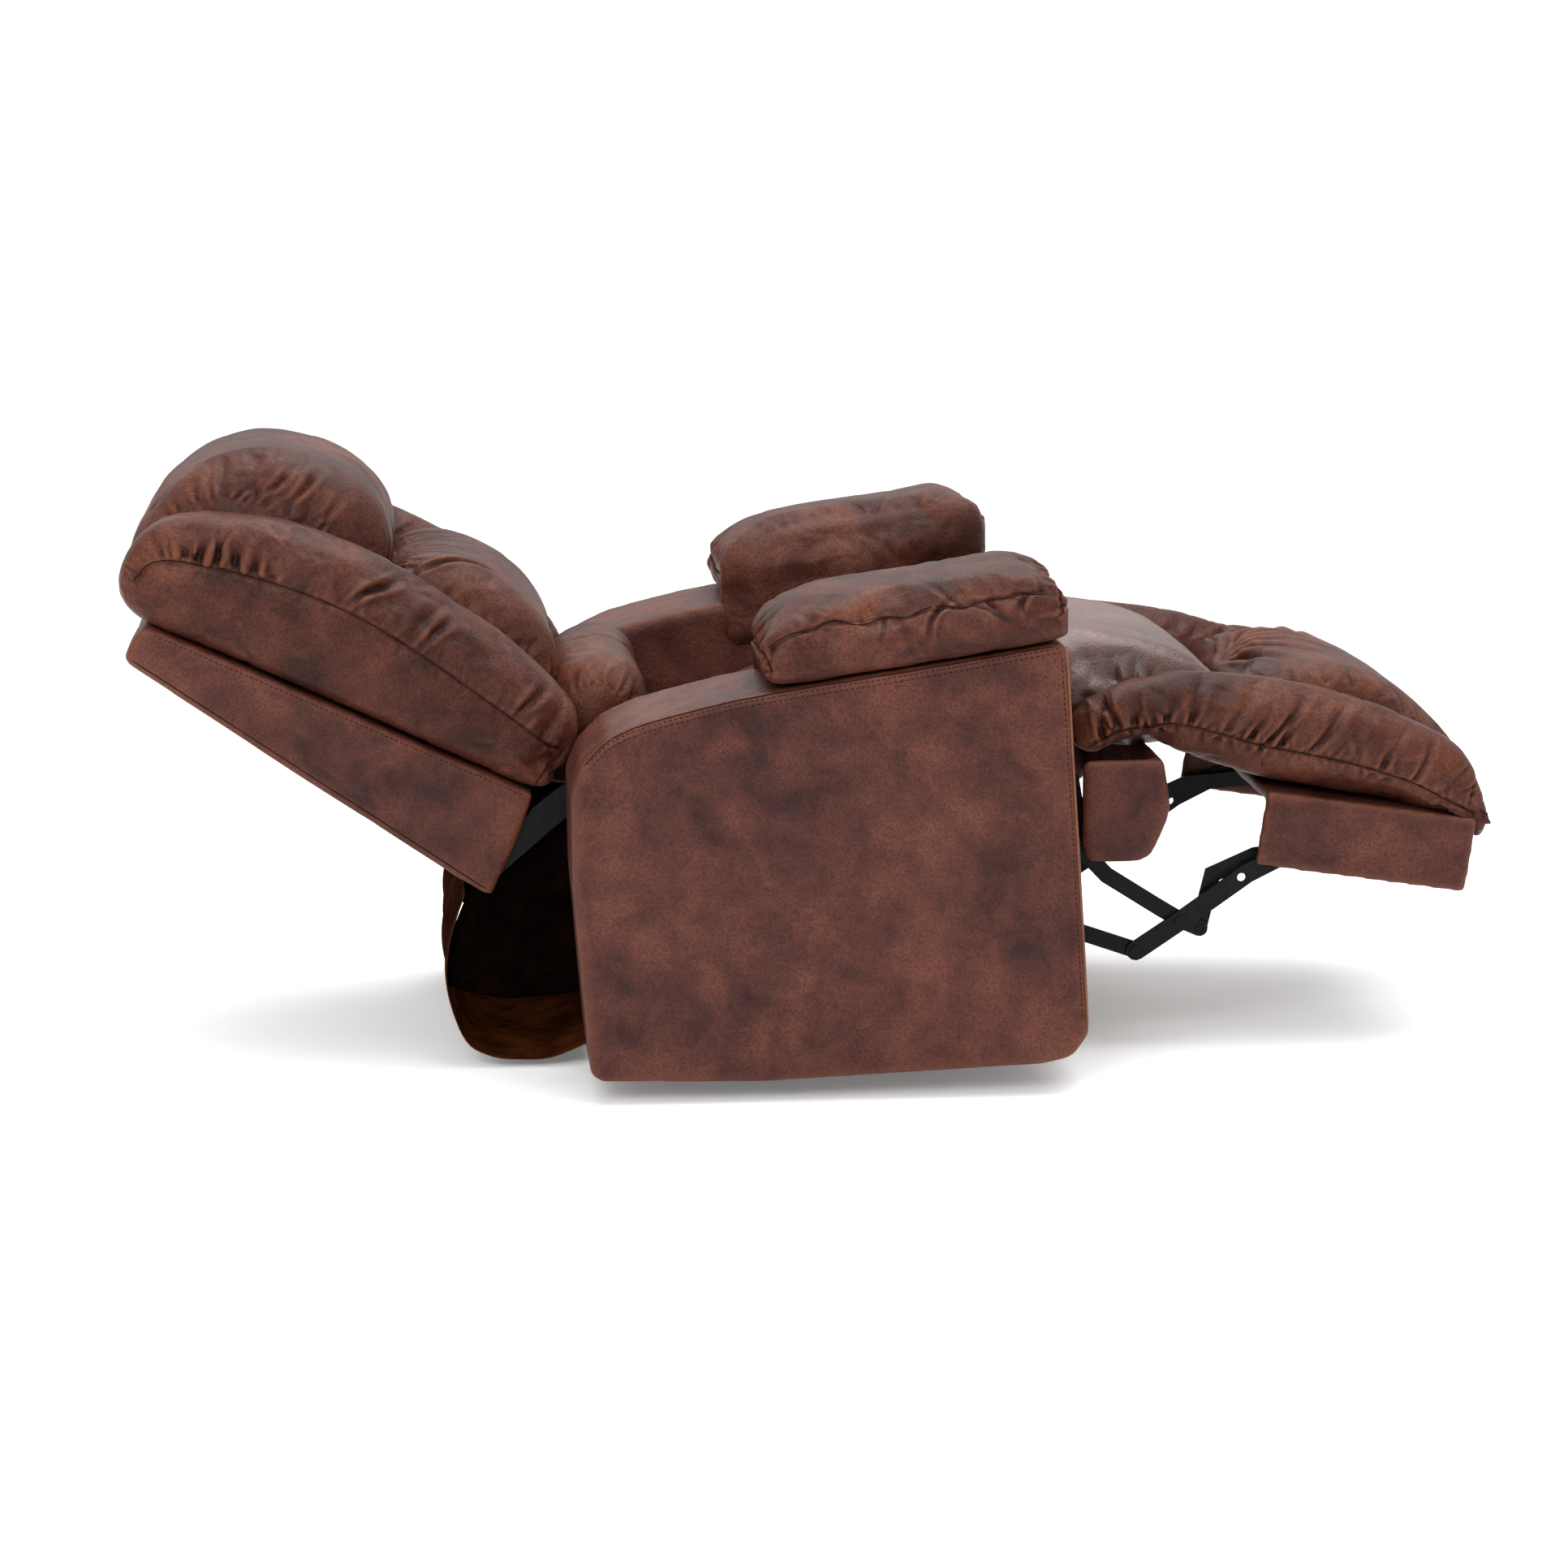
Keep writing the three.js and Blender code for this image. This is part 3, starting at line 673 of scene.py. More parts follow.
def cross_sections(centre, radius, sides):
    """Rings around a line of points; radius may be one value or one for each point."""
    ahead = unit(np.gradient(centre, axis=0))
    side = unit(np.cross(ahead, ODD_DIRECTION))
    up = np.cross(side, ahead)
    turn = np.linspace(0, 2 * math.pi, sides, endpoint=False)[:, None]
    sizes = np.broadcast_to(radius, len(centre))
    return [centre[k] + sizes[k] * (np.cos(turn) * side[k] + np.sin(turn) * up[k])
            for k in range(len(centre))]


SEAM_RADIUS, SEAM_LIFT = 0.9, 0.1


def seam_line(name, obj, path, place, body=None, blend=None):
    """The dark line where two leathers meet, sunk along the surface of a finished piece."""
    line = snapped(obj, path, SEAM_LIFT)
    radii = np.full(len(line), SEAM_RADIUS)
    radii[0] = radii[-1] = 0.3 * SEAM_RADIUS
    thread = loft(name, cross_sections(line, radii, 6))
    return finish_piece(thread, place, THREAD, body, blend)


STITCH_PITCH, STITCH_LENGTH, STITCH_RADIUS, STITCH_LIFT = 7.0, 4.6, 0.55, 0.25


def stitch_row(name, obj, path, place, body):
    """A row of separate stitches standing on the surface of a finished piece."""
    line = snapped(obj, path, STITCH_LIFT, 2.0)
    run = run_along(line)

    def at(distance):
        return np.array([np.interp(distance, run, line[:, k]) for k in range(3)])

    vertices, faces = [], []
    sides = 5
    for start in np.arange(STITCH_PITCH, run[-1] - STITCH_PITCH, STITCH_PITCH):
        centre = np.array([at(start + STITCH_LENGTH * share) for share in (0, 0.22, 0.78, 1)])
        rings = cross_sections(centre, np.array([0.25, 1, 1, 0.25]) * STITCH_RADIUS, sides)
        first = len(vertices)
        vertices += [spot * MM for ring in rings for spot in ring]
        for k in range(3):
            for i in range(sides):
                j = (i + 1) % sides
                a, b = first + k * sides, first + (k + 1) * sides
                faces.append((a + i, a + j, b + j, b + i))
        faces.append(tuple(first + i for i in reversed(range(sides))))
        faces.append(tuple(first + 3 * sides + i for i in range(sides)))
    row = make_object(name, vertices, faces)
    fix_normals(row)
    return finish_piece(row, place, THREAD, body)


def cord_edge(name, path, radius, place, material, body):
    """A narrow rolled leather edge along a path in millimetres."""
    obj = loft(name, cross_sections(np.array(path, float), radius, 8))
    fix_normals(obj)
    return finish_piece(obj, place, material, body)


# ---- Back: bolsters, pillows, shell ----
def deck_line(x):
    """Height of the back's cushion deck above its own pivot line."""
    return -118 + (x + 97) * 0.1713


ROLL_SEAM = [
    (-676, -172), (-672, -146), (-655, -127), (-620, -108), (-560, -84), (-500, -66), (-430, -52),
    (-360, -47), (-280, -47), (-200, -50), (-140, -53), (-88, -54),
]
ROLL_END_SEAM = [(-84, -50), (-93, -76), (-99, -96), (-92, -112)]


def bump_at(share, centre, spread):
    return math.exp(-((share - centre) / spread) ** 2)


def back_roll(side, sign):
    crest = 6 if sign < 0 else 26
    outline = [
        (-638, deck_line(-638) + 1), (-684, -192), (-700, -140), (-686, -88), (-636, -46), (-560, -8),
        (-470, 14 + 0.4 * crest), (-380, 19 + crest), (-290, 21 + crest), (-210, 19 + crest),
        (-150, 13 + 0.6 * crest), (-108, 2), (-86, -30), (-84, -76), (-98, deck_line(-98) + 2),
        (-250, deck_line(-250) + 1), (-400, deck_line(-400) + 1), (-520, deck_line(-520) + 1),
    ]
    rings = pillow_rings(outline, ROLL_INNER, ROLL_OUTER - 3, 50, 36)
    obj = soft_body(f"back_roll_{side}", rings, sign, 5.5, 4, 3.0, 0.008, 8,
                    held=lambda co: co[:, 2] < deck_line(co[:, 0]) + 16)
    face = sign * (ROLL_OUTER - 2)
    seam = [(x, face, z) for x, z in ROLL_SEAM]
    slack_creases(obj, 2.0, (34, 60, 26), 18)
    ripple(obj, 2.0, 62, 15)
    seam_groove(obj, seam, 2.4, 2.8, pull=4.5, pull_width=15)
    seam_line(f"back_roll_seam_{side}", obj, seam, BACK, "back")

    def strong(share):
        return (0.30 + 0.9 * bump_at(share, 0.17, 0.13) + 0.25 * bump_at(share, 0.42, 0.08)
                + 0.2 * bump_at(share, 0.9, 0.1))

    gathers(obj, seam, (0, 0, 1), 19, 6.0, 58, 3.6, 11 if sign < 0 else 12, 0.25, strong)
    gathers(obj, seam, (0, 0, 1), 20, 10.0, 74, 4.6, 16, 0.12, at=(0.12, 0.155, 0.185, 0.225, 0.26))
    gathers(obj, seam, (0, 0, 1), 70, 5.0, 110, 9, 13, 0.35)
    gathers(obj, seam, (0, 0, -1), 46, 2.4, 30, 4, 14, 0.2)
    fold(obj, [(-436, face, -54), (-424, face, -20), (-398, sign * 296, 12), (-388, sign * 270, 30)],
         10, 4.5)
    fold(obj, [(-330, face, -44), (-318, sign * 304, -8), (-300, sign * 280, 30)], 6, 5)
    fold(obj, [(-180, face, -48), (-168, sign * 304, -20), (-150, sign * 286, 14)], 7, 5)
    end = [(x, sign * (ROLL_OUTER - 12), z) for x, z in ROLL_END_SEAM]
    seam_groove(obj, end, 3.5, 3.5)
    gathers(obj, end, (-1, 0, 0), 22, 3.5, 30, 4, 19, 0.3)
    inner = [(x, sign * ROLL_INNER, z)
             for x, z in ((-690, -90), (-560, -10), (-400, 10), (-250, 12), (-110, -10))]
    gathers(obj, inner, (0, 0, 1), 38, 6, 66, 6, 17, 0.3)
    seam_line(f"back_roll_end_seam_{side}", obj, end, BACK, "back")
    return finish_piece(obj, BACK, CUSHION_LEATHER, "back",
                        replaces=[f"back_bolster_{side}"])


def back_pillow(name, outline, node, seed, gather_paths, rounding=62, folds=()):
    rings = pillow_rings(outline, -PILLOW_HALF, PILLOW_HALF, rounding, rounding)
    obj = soft_body(name, rings, 1, 6, 5, 4.0, 0.012, 11,
                    held=lambda co: co[:, 2] < deck_line(co[:, 0]) + 18)
    for path, towards, spacing, depth, length, width, slant in gather_paths:
        gathers(obj, path, towards, spacing, depth, length, width, seed, slant)
        seed += 1
    for path, depth, width in folds:
        fold(obj, path, depth, width)
    slack_creases(obj, 1.2, (46, 90, 40), seed)
    ripple(obj, 2.4, 95, seed)
    return finish_piece(obj, BACK, CUSHION_LEATHER, "back", replaces=[node])


def both_sides(points, inwards, upwards, *sizes):
    """The same gathers along the right and the left side of a pillow."""
    return [([(x, sign * (PILLOW_HALF - 4), z) for x, z in points], (0, -sign * inwards, upwards), *sizes)
            for sign in (-1, 1)]


def make_back():
    for side, sign in SIDES:
        back_roll(side, sign)
    head_side = [(-690, -120), (-650, -48), (-560, -14), (-470, -8), (-412, -30)]
    head = [
        (-640, deck_line(-640) + 3), (-694, -170), (-706, -98), (-686, -22), (-634, 36), (-556, 73),
        (-484, 77), (-430, 52), (-404, 4), (-400, -70), (-408, deck_line(-408) + 4),
        (-520, deck_line(-520) + 3),
    ]
    head_cleft = [(-402, -180, -14), (-408, -60, 4), (-408, 60, 4), (-402, 180, -14)]
    head_top = [(-700, -170, -110), (-704, -60, -96), (-704, 60, -96), (-700, 170, -110)]
    back_pillow("head_pillow_soft", head, "head_pillow", 31, [
        *both_sides(head_side, 0.4, 0.9, 22, 5.5, 62, 3.8, 0.25),
        *both_sides(head_side, 0.4, 0.9, 110, 4, 120, 9, 0.4),
        (head_cleft, (-0.8, 0, 0.6), 15, 4.5, 84, 3.4, 0.2),
        (head_top, (0.5, 0, 0.8), 34, 3.5, 80, 6, 0.3),
    ], folds=[([(-592, -186, -4), (-582, -170, 22), (-574, -150, 44)], 6, 4.5),
              ([(-560, -188, -2), (-552, -172, 24), (-546, -150, 50)], 8, 4.5),
              ([(-525, -188, -4), (-516, -172, 20), (-508, -156, 42)], 5, 4)])
    middle_side = [(-390, -20), (-300, 10), (-200, 0), (-140, -30)]
    middle = [
        (-393, deck_line(-393) + 4), (-398, -4), (-378, 42), (-338, 66), (-285, 74), (-225, 71),
        (-174, 48), (-143, 10), (-134, -40), (-138, deck_line(-138) + 4),
    ]
    middle_top = [(-398, -170, 4), (-394, -60, 18), (-394, 60, 18), (-398, 170, 4)]
    middle_low = [(-140, -170, 0), (-137, -60, 10), (-137, 60, 10), (-140, 170, 0)]
    back_pillow("middle_pillow_soft", middle, "middle_pillow", 41, [
        *both_sides(middle_side, 0.4, 0.9, 22, 4.5, 60, 3.8, 0.3),
        (middle_top, (0.8, 0, 0.6), 15, 4.5, 110, 3.6, 0.35),
        (middle_low, (-0.8, 0, 0.6), 18, 4.5, 80, 4, 0.3),
    ], folds=[([(-388, -186, 0), (-340, -150, 50), (-270, -110, 74)], 5, 5),
              ([(-388, -180, 10), (-320, -130, 66), (-220, -90, 70)], 4, 5)])
    lower = [
        (-126, deck_line(-126) + 4), (-137, 8), (-124, 50), (-98, 73), (-66, 80), (-38, 70), (-20, 42),
        (-15, 0), (-26, -60), (-38, deck_line(-38) + 6),
    ]
    lower_side = [(-130, -10), (-90, 30), (-40, 30), (-12, -10)]
    back_pillow("lower_pillow_soft", lower, "lower_pillow", 51,
                both_sides(lower_side, 0.5, 0.85, 14, 5.5, 110, 3.6, 0.2), rounding=56)
    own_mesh(bpy.data.objects["lower_pillow_soft"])
    make_shell()


def rounded_layers(low, high, radius, count):
    """(y, inset) pairs across a body with small rounded edges."""
    turns = [math.pi / 2 * k / 4 for k in range(5)]
    end = [(radius * (1 - math.cos(turn)), radius * (1 - math.sin(turn))) for turn in turns]
    layers = [(low + across, inset) for across, inset in end]
    layers += [(y, 0.0) for y in np.linspace(low + radius, high - radius, count)[1:-1]]
    layers += [(high - across, inset) for across, inset in reversed(end)]
    return layers


def board_body(name, outline, sign, low, high, radius, count):
    """A box of boards with small rounded edges, seen from the side as the outline."""
    dense = resample(np.array(outline, float), 9)
    rings = []
    for y, inset in rounded_layers(low, high, radius, count):
        ring = inset_loop(dense, inset)
        rings.append(np.stack([ring[:, 0], np.full(len(ring), sign * y), ring[:, 1]], 1))
    obj = loft(name, rings)
    fix_normals(obj)
    remesh(obj, 6.5, 3)
    return obj


def make_shell():
    outline = [
        (-629, -266), (-400, -267.5), (-200, -267.5), (-64, -266), (-76, -190), (-94, -119),
        (-360, deck_line(-360) - 1.5), (-631, deck_line(-631) - 1), (-635, -238),
    ]
    obj = board_body("back_shell_cover", outline, 1, -SHELL_HALF, SHELL_HALF, 6, 12)
    ripple(obj, 1.4, 120, 61)
    slack_creases(obj, 0.8, (70, 70, 50), 62)
    for side, sign in SIDES:
        top = [(x, sign * (SHELL_HALF - 1), deck_line(x) - 9) for x in (-622, -500, -360, -220, -104)]
        stitch_row(f"shell_stitches_{side}", obj, top, BACK, "back")
        rear = [(x, sign * (SHELL_HALF - 1), -258) for x in (-622, -500, -360, -220, -76)]
        seam_line(f"shell_rear_seam_{side}", obj, rear, BACK, "back")
    finish_piece(obj, BACK, PANEL_LEATHER, "back",
                 replaces=["back_panel", "back_side_right", "back_side_left"])


# ---- Arms ----
ARM_TOP = [
    (342, 575), (160, 554), (-6, 538), (-83, 529), (-150, 517), (-200, 506), (-240, 490), (-274, 460),
    (-291, 424),
]


def make_arm(side, sign):
    outline = [
        (-297, 300), (-289, 56), (-278, 44.5), (-59, 29.5), (296, 25.5), (332, 33), (354, 62),
        (351, 320), (347, 562), (341, 574),
    ] + ARM_TOP[1:]
    obj = board_body(f"arm_cover_{side}", outline, sign, ARM_INNER, ARM_OUTER, 8, 10)
    ripple(obj, 1.6, 150, 71)
    slack_creases(obj, 0.7, (60, 60, 80), 72)
    outer = sign * ARM_OUTER
    top = [(x, outer, z - 7) for x, z in reversed(ARM_TOP[:-1])]
    below = [(x + 2, outer, z - 13) for x, z in reversed(ARM_TOP[:-1])]
    band = [(x, sign * (ARM_OUTER - 2), z - 2) for x, z in reversed(ARM_TOP[:-1])]
    front = [(x, sign * (ARM_OUTER - 1), z) for x, z in ((345, 566), (349, 320), (352, 80))]
    front_stitch = [(337, outer, 560), (342, outer, 320), (345, outer, 80)]
    seam_line(f"arm_top_seam_{side}", obj, band, BODY, "chassis")
    stitch_row(f"arm_stitches_upper_{side}", obj, top, BODY, "chassis")
    stitch_row(f"arm_stitches_lower_{side}", obj, below, BODY, "chassis")
    seam_line(f"arm_front_seam_{side}", obj, front, BODY, "chassis")
    stitch_row(f"arm_stitches_front_{side}", obj, front_stitch, BODY, "chassis")
    edge = snapped(obj, front, 0.8)
    cord_edge(f"arm_front_edge_{side}", edge, 1.6, BODY, RUBBED_EDGE, "chassis")
    finish_piece(obj, BODY, PANEL_LEATHER, "chassis",
                 replaces=[f"{node}_{side}" for node in
                           ("arm_outer_panel", "arm_inner_panel", "arm_front_panel", "arm_top")])


PAD_SEAM = [(-46, 597), (-20, 608), (21, 618), (84, 627), (141, 634), (226, 642), (322, 648)]
PAD_MIDDLE = 352


def make_arm_pad(side, sign):
    outline = [
        (-26, 542), (-42, 582), (-33, 608), (-8, 628), (42, 641), (135, 652), (239, 660), (303, 666),
        (334, 657), (348, 629), (348, 596), (342, 578), (250, 568), (100, 550),
    ]

    def hang(ring, y):
        """The inner side hangs down over the arm, lowest at the rear; the top is crowned across."""
        drop = 78 * (1 - smoothstep((y - 286) / 22))
        low = smoothstep((598 - ring[:, 1]) / 34)
        share = smoothstep((356 - ring[:, 0]) / 380) * 0.85 + 0.15
        crown = 6 * ((y - PAD_MIDDLE) / 105) ** 2 * smoothstep((ring[:, 1] - 585) / 45)
        ring = ring.copy()
        ring[:, 1] -= drop * low * share + crown
        return ring

    rings = pillow_rings(outline, 279, PAD_OUTER - 3, 26, 24, hang)
    obj = soft_body(f"arm_pad_soft_{side}", rings, sign, 5.5, 4, 3.5, 0.008, 9,
                    held=lambda co: (co[:, 2] < 0.11 * co[:, 0] + 553) & (np.abs(co[:, 1]) > 290))
    face = sign * (PAD_OUTER + 2)
    seam = [(x, face, z) for x, z in PAD_SEAM]
    slack_creases(obj, 1.6, (54, 60, 34), 87)
    ripple(obj, 2.2, 70, 87)
    seam_groove(obj, seam, 2.2, 2.8, pull=3.5, pull_width=16)
    seam_line(f"arm_pad_seam_{side}", obj, seam, BODY, "chassis")
    gathers(obj, seam, (0, 0, -1), 38, 5, 66, 5, 81, 0.9,
            strength=lambda share: 0.25 + smoothstep((share - 0.3) / 0.3))
    gathers(obj, seam, (0, 0, 1), 44, 3.5, 60, 6, 82, 0.6)
    gathers(obj, seam, (0, 0, -1), 90, 3.5, 90, 11, 88, 1.0)
    corner = [(x, sign * y, z)
              for x, y, z in ((346, 300, 630), (350, 400, 642), (346, 484, 638), (342, 496, 612))]
    seam_groove(obj, corner, 4, 4)
    gathers(obj, corner, (-1, 0, 0), 19, 8, 56, 4.6, 83, 0.3)
    gathers(obj, corner, (0, 0, -1), 17, 8, 44, 4.4, 84, 0.3)
    rear = [(x, sign * y, z)
            for x, y, z in ((-42, 300, 576), (-48, 400, 584), (-40, 484, 580), (-36, 496, 562))]
    seam_groove(obj, rear, 4, 4)
    gathers(obj, rear, (1, 0, 0), 19, 8, 52, 4.6, 85, 0.3)
    gathers(obj, rear, (0, 0, -1), 17, 7, 40, 4.2, 86, 0.3)
    top_seam = [(x, sign * 300, z + 8) for x, z in PAD_SEAM]
    gathers(obj, top_seam, (0, sign, 0), 30, 2.8, 60, 6, 89, 0.5)
    seam_line(f"arm_pad_front_seam_{side}", obj, corner, BODY, "chassis")
    seam_line(f"arm_pad_rear_seam_{side}", obj, rear, BODY, "chassis")
    finish_piece(obj, BODY, CUSHION_LEATHER, "chassis", replaces=[f"arm_pad_{side}"])


# ---- Seat and chaise ----
CHAISE_BLEND = ("seat", "footrest",
                CHAIR @ Vector((0.50, 0, 0.43)), CHAIR @ Vector((0.66, 0, 0.40)))
CHAISE_SEAM = [
    (380, 406), (400, 415), (426, 427), (463, 440), (506, 442), (562, 431), (608, 417), (666, 405),
    (740, 388), (805, 366), (872, 334), (906, 320),
]


def make_seat():
    outline = [
        (-96, 332), (-102, 388), (-86, 412), (-36, 436), (80, 472), (200, 508), (330, 538), (412, 548),
        (490, 538), (556, 508), (592, 468), (584, 436), (540, 414), (480, 407), (380, 404), (130, 368),
    ]
    rings = pillow_rings(outline, -SEAT_HALF, SEAT_HALF, 40, 40)
    for ring in rings:
        # In front of the arms the middle panel is narrower than the seat.
        ring[:, 1] *= 1 - 0.26 * smoothstep((ring[:, 0] - 330) / 60)
    obj = soft_body("seat_pad_soft", rings, 1, 7, 5, 4.0, 0.015, 14, held=lambda co: co[:, 2] < 405)
    slack_creases(obj, 1.8, (70, 110, 50), 104)
    crease = [(594, -190, 464), (598, -60, 476), (598, 60, 476), (594, 190, 464)]
    gathers(obj, crease, (-1, 0, 0.3), 34, 6, 90, 7, 101, 0.4)
    for sign in (-1, 1):
        edge = [(x, sign * 198, z) for x, z in ((400, 480), (480, 486), (560, 470))]
        gathers(obj, edge, (0, -sign, 0.2), 34, 6, 90, 8, 103, 0.5)
    ripple(obj, 2.4, 90, 102)
    # The seat leather's lighter base is painted sheen.
    finish_piece(obj, CHAIR, SEAT_LEATHER_PAINTED_SHEEN, "seat", replaces=["seat_cushion"])


CHAISE_ROLL_UNDER = [
    (901, 308), (880, 316), (820, 327), (730, 345), (640, 364), (584, 377), (536, 394), (500, 408),
    (462, 428), (425, 420), (392, 407),
]


def chaise_roll(side, sign):
    if sign < 0:
        crest = [(370, 456), (410, 487), (480, 505), (536, 506), (623, 499), (700, 483), (778, 458),
                 (840, 433)]
    else:
        # The left roll is stuffed fuller at its rear end.
        crest = [(368, 474), (392, 516), (440, 537), (510, 531), (596, 520), (653, 503), (736, 486),
                 (820, 450)]
    nose = [(880, 408), (906, 370), (919, 332), (920, 302), (911, 280), (903, 284)]
    outline = [(366, 422)] + crest + nose + CHAISE_ROLL_UNDER
    rings = pillow_rings(outline, CHAISE_INNER, CHAISE_OUTER - 6, 46, 32)
    obj = soft_body(f"chaise_roll_{side}", rings, sign, 5, 4, 3.0, 0.012, 7)
    face = sign * (CHAISE_OUTER - 4)
    seam = [(x, face, z) for x, z in CHAISE_SEAM]
    slack_creases(obj, 1.8, (46, 60, 34), 118)
    ripple(obj, 2.2, 64, 116)
    seam_groove(obj, seam, 2.4, 2.8, pull=3.5, pull_width=12)
    seam_line(f"chaise_seam_{side}", obj, seam, CHAIR, blend=CHAISE_BLEND)

    def strong(share):
        return 0.55 + 0.6 * (1 - smoothstep((share - 0.5) / 0.45))

    gathers(obj, seam, (0, 0, 1), 17, 5.0, 44, 3.4, 111 if sign < 0 else 112, 0.35, strong)
    gathers(obj, seam, (0, 0, 1), 34, 9.5, 120, 5.5, 113, 0.45, strong)
    gathers(obj, seam, (0, 0, -1), 19, 4.5, 36, 4, 114, 0.3, strong)
    inner = [(x, sign * (CHAISE_INNER + 4), z)
             for x, z in ((400, 470), (520, 490), (640, 478), (760, 436), (880, 376))]
    gathers(obj, inner, (0, 0, 1), 36, 8, 66, 7, 115, 0.3)
    toe = [(905, sign * 284, 318), (914, sign * 268, 352), (890, sign * 262, 388)]
    gathers(obj, toe, (-1, 0, 0), 22, 6, 50, 5, 117, 0.3)
    stitch = [(612, face, 416), (614, face, 396), (616, face, 378)]
    seam_groove(obj, stitch, 2.5, 2.5)
    seam_line(f"chaise_join_{side}", obj, stitch, CHAIR, blend=CHAISE_BLEND)
    finish_piece(obj, CHAIR, CUSHION_LEATHER, blend=CHAISE_BLEND)


TUFT = (604, 40, 484)
# Far ends of the folds that run out from the tuft, with their depths.
TUFT_FOLDS = [
    (690, -165, 492, 7), (740, -120, 500, 8), (790, -60, 492, 7), (800, 10, 488, 8), (790, 80, 490, 7),
    (750, 130, 494, 8), (690, 165, 492, 6),
]


def make_chaise():
    outline = [
        (602, 420), (594, 462), (610, 484), (658, 496), (720, 504), (772, 492), (830, 453), (880, 406),
        (916, 358), (923, 324), (910, 310), (820, 322), (700, 344), (622, 358),
    ]
    rings = pillow_rings(outline, -CHAISE_INNER - 14, CHAISE_INNER + 14, 40, 40)
    obj = soft_body("footrest_pad_soft", rings, 1, 6, 4, 4.0, 0.02, 12, held=lambda co: co[:, 2] < 345)
    for x, y, z, depth in TUFT_FOLDS:
        middle = ((2 * TUFT[0] + x) / 3, (2 * TUFT[1] + y) / 3 + 8, (2 * TUFT[2] + z) / 3 + 8)
        fold(obj, [TUFT, middle, (x, y, z)], depth, 6.5, 0.25)
    for sign in (-1, 1):
        edge = [(x, sign * (CHAISE_INNER + 6), z)
                for x, z in ((604, 470), (680, 480), (780, 462), (880, 394), (912, 350))]
        gathers(obj, edge, (0, -sign, 0.2), 34, 5.5, 130, 5.5, 121, 0.5)
    gathers(obj, [(918, -180, 330), (922, 0, 330), (918, 180, 330)], (-0.3, 0, 1), 34, 6, 90, 7, 125, 0.3)
    ripple(obj, 2.6, 70, 126)
    finish_piece(obj, CHAIR, CUSHION_LEATHER, blend=CHAISE_BLEND,
                 replaces=["footrest_pad"])
    for side, sign in SIDES:
        chaise_roll(side, sign)


def soft_copy(name, nodes, voxel, smooth, body, swell):
    """Leather drawn tight over CAD boards: the same shape with softened edges."""
    work = bmesh.new()
    for node in nodes:
        work.from_mesh(frame["nodes"][node].data)
    mesh = bpy.data.meshes.new(name)
    work.to_mesh(mesh)
    work.free()
    obj = link_object(name, mesh)
    remesh(obj, voxel, smooth)
    push(obj, np.full(len(obj.data.vertices), swell))
    ripple(obj, 1.2, 60, 131)
    slack_creases(obj, 0.8, (50, 50, 40), 132)
    return finish_piece(obj, Matrix.Identity(4), PANEL_LEATHER, body, replaces=nodes)


def make_boxes():
    soft_copy("front_rail_cover", ["seat_front_rail"], 4.5, 26, "seat", 3.5)
    soft_copy("footrest_box_cover", ["footrest_frame", "footrest_board"], 4.5, 8, "footrest", 1.8)


# ---- Loose covers behind the seat ----
FLAP_PATH = [(-441, 237), (-462, 172), (-467, 110), (-444, 40), (-410, 17), (-373, 12), (-330, 14),
             (-280, 34)]
FLAP_BLEND = ("chassis", "back", CHAIR @ Vector((-0.44, 0, 0.10)), CHAIR @ Vector((-0.46, 0, 0.24)))
# Front and rear edges of the side lining, as (x, z) points in millimetres.
GUSSET_FRONT = [(-300, 396), (-290, 300), (-284, 200), (-284, 100)]
GUSSET_REAR = [(-314, 352), (-366, 290), (-436, 238), (-463, 172), (-466, 108)]


def grid_faces(rows, columns):
    corners = [i * columns + j for i in range(rows - 1) for j in range(columns - 1)]
    return [(a, a + 1, a + columns + 1, a + columns) for a in corners]


def make_gusset(side, sign):
    """The black lining drawn in between the arm and the lower end of the back; its near-black colour is partly
    painted shade.
    """
    front, rear = np.array(GUSSET_FRONT, float), np.array(GUSSET_REAR, float)
    rows, columns = 40, 24
    down = np.linspace(0, 1, rows)
    across = np.linspace(0, 1, columns)

    def spread(points):
        run = np.linspace(0, 1, len(points))
        return np.stack([np.interp(down, run, points[:, k]) for k in (0, 1)], 1)

    near, far = spread(front), spread(rear)
    vertices = []
    for i in range(rows):
        for u in across:
            x, z = (1 - u) * near[i] + u * far[i]
            sag = 14 * down[i] * math.sin(math.pi * u)
            pleat = 5 * math.sin(9 * u + 1.5 * down[i]) + 3 * math.sin(21 * u - 4 * down[i])
            vertices.append((x * MM, sign * (268 + pleat * down[i]) * MM, (z - sag) * MM))
    obj = make_object(f"side_lining_{side}", vertices, grid_faces(rows, columns))
    thicken(obj)
    finish_piece(obj, CHAIR, LINING_PAINTED_SHADE, blend=FLAP_BLEND)


CLOTH_THICKNESS = 1.6


def thicken(obj):
    """Gives a cloth its thickness, and returns the faces of its second side."""
    count = len(obj.data.polygons)
    modifier = obj.modifiers.new("thick", "SOLIDIFY")
    modifier.thickness = CLOTH_THICKNESS * MM
    apply_modifiers(obj)
    return range(count, 2 * count)


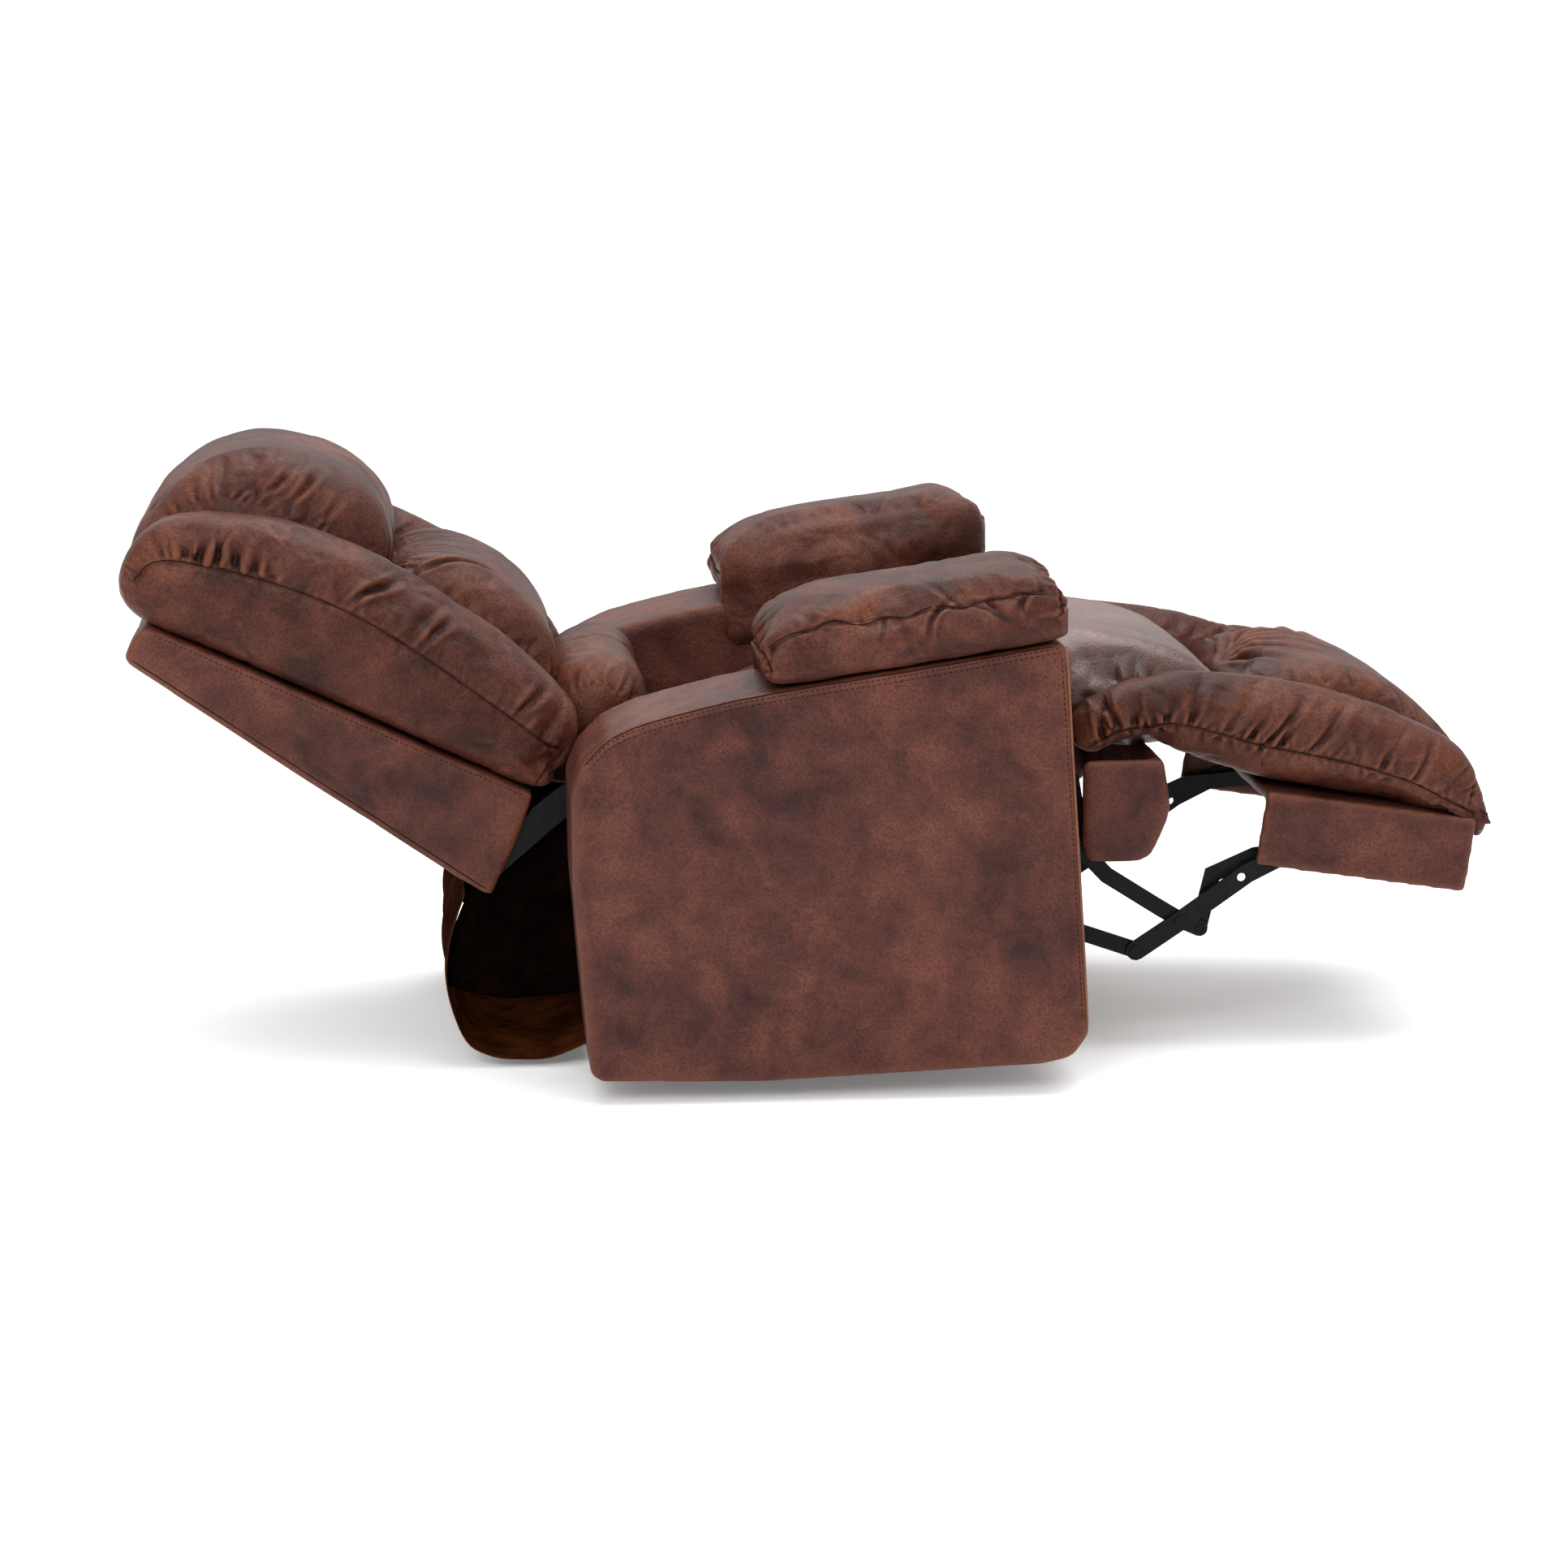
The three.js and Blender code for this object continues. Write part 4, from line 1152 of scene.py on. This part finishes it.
def hung_cloth(name, path, half_width, wave, floor, seed):
    """A cloth hung across the chair along a side path, with slack waves."""
    path = open_spline(path, 8)
    rows = np.linspace(-half_width, half_width, 81)
    rng = np.random.default_rng(seed)
    count = len(path)
    share = np.linspace(0, 1, count)
    ahead = unit(np.gradient(path, axis=0))
    normal = np.stack([ahead[:, 1], -ahead[:, 0]], 1)
    phases = rng.uniform(0, 6.3, 3)
    vertices = []
    for y in rows:
        slack = math.sin(y / 62 + phases[0]) + 0.7 * math.sin(y / 29 + phases[1])
        bulge = wave * np.sin(share * math.pi) * slack
        bulge = bulge + 0.4 * wave * np.sin(share * 9 + y / 40 + phases[2]) * share * (1 - share)
        spot = path - normal * bulge[:, None]
        spot[:, 1] = np.maximum(spot[:, 1], floor)
        vertices.append(np.stack([spot[:, 0], np.full(count, y), spot[:, 1]], 1))
    obj = make_object(name, np.array(vertices).reshape(-1, 3) * MM, grid_faces(len(rows), count))
    outside = thicken(obj)
    length = float(np.sum(np.linalg.norm(np.diff(path, axis=0), axis=1))) * MM
    return obj, outside, (2 * half_width * MM, round(length, 3))


def make_flap():
    obj, outside, size = hung_cloth("rear_flap_cover", FLAP_PATH, 285, 3.0, 7, 141)
    finish_piece(obj, CHAIR, SUEDE, blend=FLAP_BLEND, replaces=["rear_flap"])
    # The outer faces take the flap leather, whose near-black base is painted shade.
    obj.data.materials.append(FLAP_LEATHER_PAINTED_SHADE)
    for face in outside:
        obj.data.polygons[face].material_index = 1
    for side, sign in SIDES:
        make_gusset(side, sign)


# ---- CAD nodes that stay ----
def dress_cad_nodes():
    finishes = {"black_steel": STEEL, "spring_steel": SPRING, "frame_wood": WOOD, "glide_rubber": RUBBER,
                "panel_leather": PANEL_LEATHER, "cushion_leather": CUSHION_LEATHER, "flap_backing": SUEDE}
    for part in frame["record"]["subparts"]:
        mesh = frame["nodes"][part["node"]].data
        mesh.materials.clear()
        mesh.materials.append(finishes[part["material_slot"]])


# ---- Stage, lights, camera ----
CAMERA_TARGET = Vector((-0.024, -0.011, 0.3225))
CAMERA_DISTANCE = 5.6
CAMERA_TURN = math.radians(5.0)
CAMERA_PITCH = math.radians(10.9)
CAMERA_LENS = 93.16


def make_camera():
    data = bpy.data.cameras.new("camera")
    data.lens = CAMERA_LENS
    data.sensor_width = 36
    camera = link_object("camera", data)
    level = math.cos(CAMERA_PITCH)
    look = Vector((math.sin(CAMERA_TURN) * level, math.cos(CAMERA_TURN) * level, -math.sin(CAMERA_PITCH)))
    camera.location = CAMERA_TARGET - look * CAMERA_DISTANCE
    camera.rotation_euler = look.to_track_quat("-Z", "Y").to_euler()
    bpy.context.scene.camera = camera


def area_light(name, place, aim, size, power):
    data = bpy.data.lights.new(name, "AREA")
    data.shape = "RECTANGLE"
    data.size, data.size_y = size
    data.energy = power
    light = link_object(name, data)
    light.location = Vector(place)
    light.rotation_euler = (Vector(aim) - Vector(place)).to_track_quat("-Z", "Y").to_euler()


FLOOR_HALF = 40
FLOOR_GLOW = 0.14
WORLD_LIGHT = 0.26
# Each light: name, place, aim, size (metres) and power (watts).
LIGHTS = [
    ("ceiling_bounce", (0, 0, 10), (0, 0, 0), (160, 160), 64000),
    ("overhead_softbox", (0.4, 0.3, 3.8), (0, 0, 0.3), (4.6, 3.6), 190),
    ("front_softbox", (-1.6, -4.2, 2.8), (0, 0, 0.4), (2.0, 1.6), 90),
]


def make_stage():
    corners = [
        (-FLOOR_HALF, -FLOOR_HALF, 0), (FLOOR_HALF, -FLOOR_HALF, 0), (FLOOR_HALF, FLOOR_HALF, 0),
        (-FLOOR_HALF, FLOOR_HALF, 0),
    ]
    floor = make_object("studio_floor", corners, [(0, 1, 2, 3)])
    m = Nodes("studio_white")
    m.link(m.ramp(m.noise(0.4, 2.0), [(0.0, 0.90), (1.0, 0.92)]), m.shader.inputs["Base Color"])
    m.value("Roughness", 0.9)
    m.value("Specular IOR Level", 0.1)
    m.value("Emission Color", (1, 1, 1, 1))
    m.value("Emission Strength", FLOOR_GLOW)
    floor.data.materials.append(m.material)
    world = bpy.data.worlds.new("studio")
    world.use_nodes = True
    tree = world.node_tree
    background = tree.nodes["Background"]
    background.inputs[0].default_value = (1, 1, 1, 1)
    strength = tree.nodes.new("ShaderNodeMapRange")
    strength.inputs["To Min"].default_value = WORLD_LIGHT
    strength.inputs["To Max"].default_value = 1.0
    rays = tree.nodes.new("ShaderNodeLightPath")
    tree.links.new(rays.outputs["Is Camera Ray"], strength.inputs["Value"])
    tree.links.new(strength.outputs[0], background.inputs[1])
    bpy.context.scene.world = world
    bpy.context.scene.view_settings.view_transform = "Standard"
    for light in LIGHTS:
        area_light(*light)


make_camera()
make_stage()
dress_cad_nodes()
make_back()
for side_name, side_sign in SIDES:
    make_arm(side_name, side_sign)
    make_arm_pad(side_name, side_sign)
make_seat()
make_chaise()
make_boxes()
make_flap()
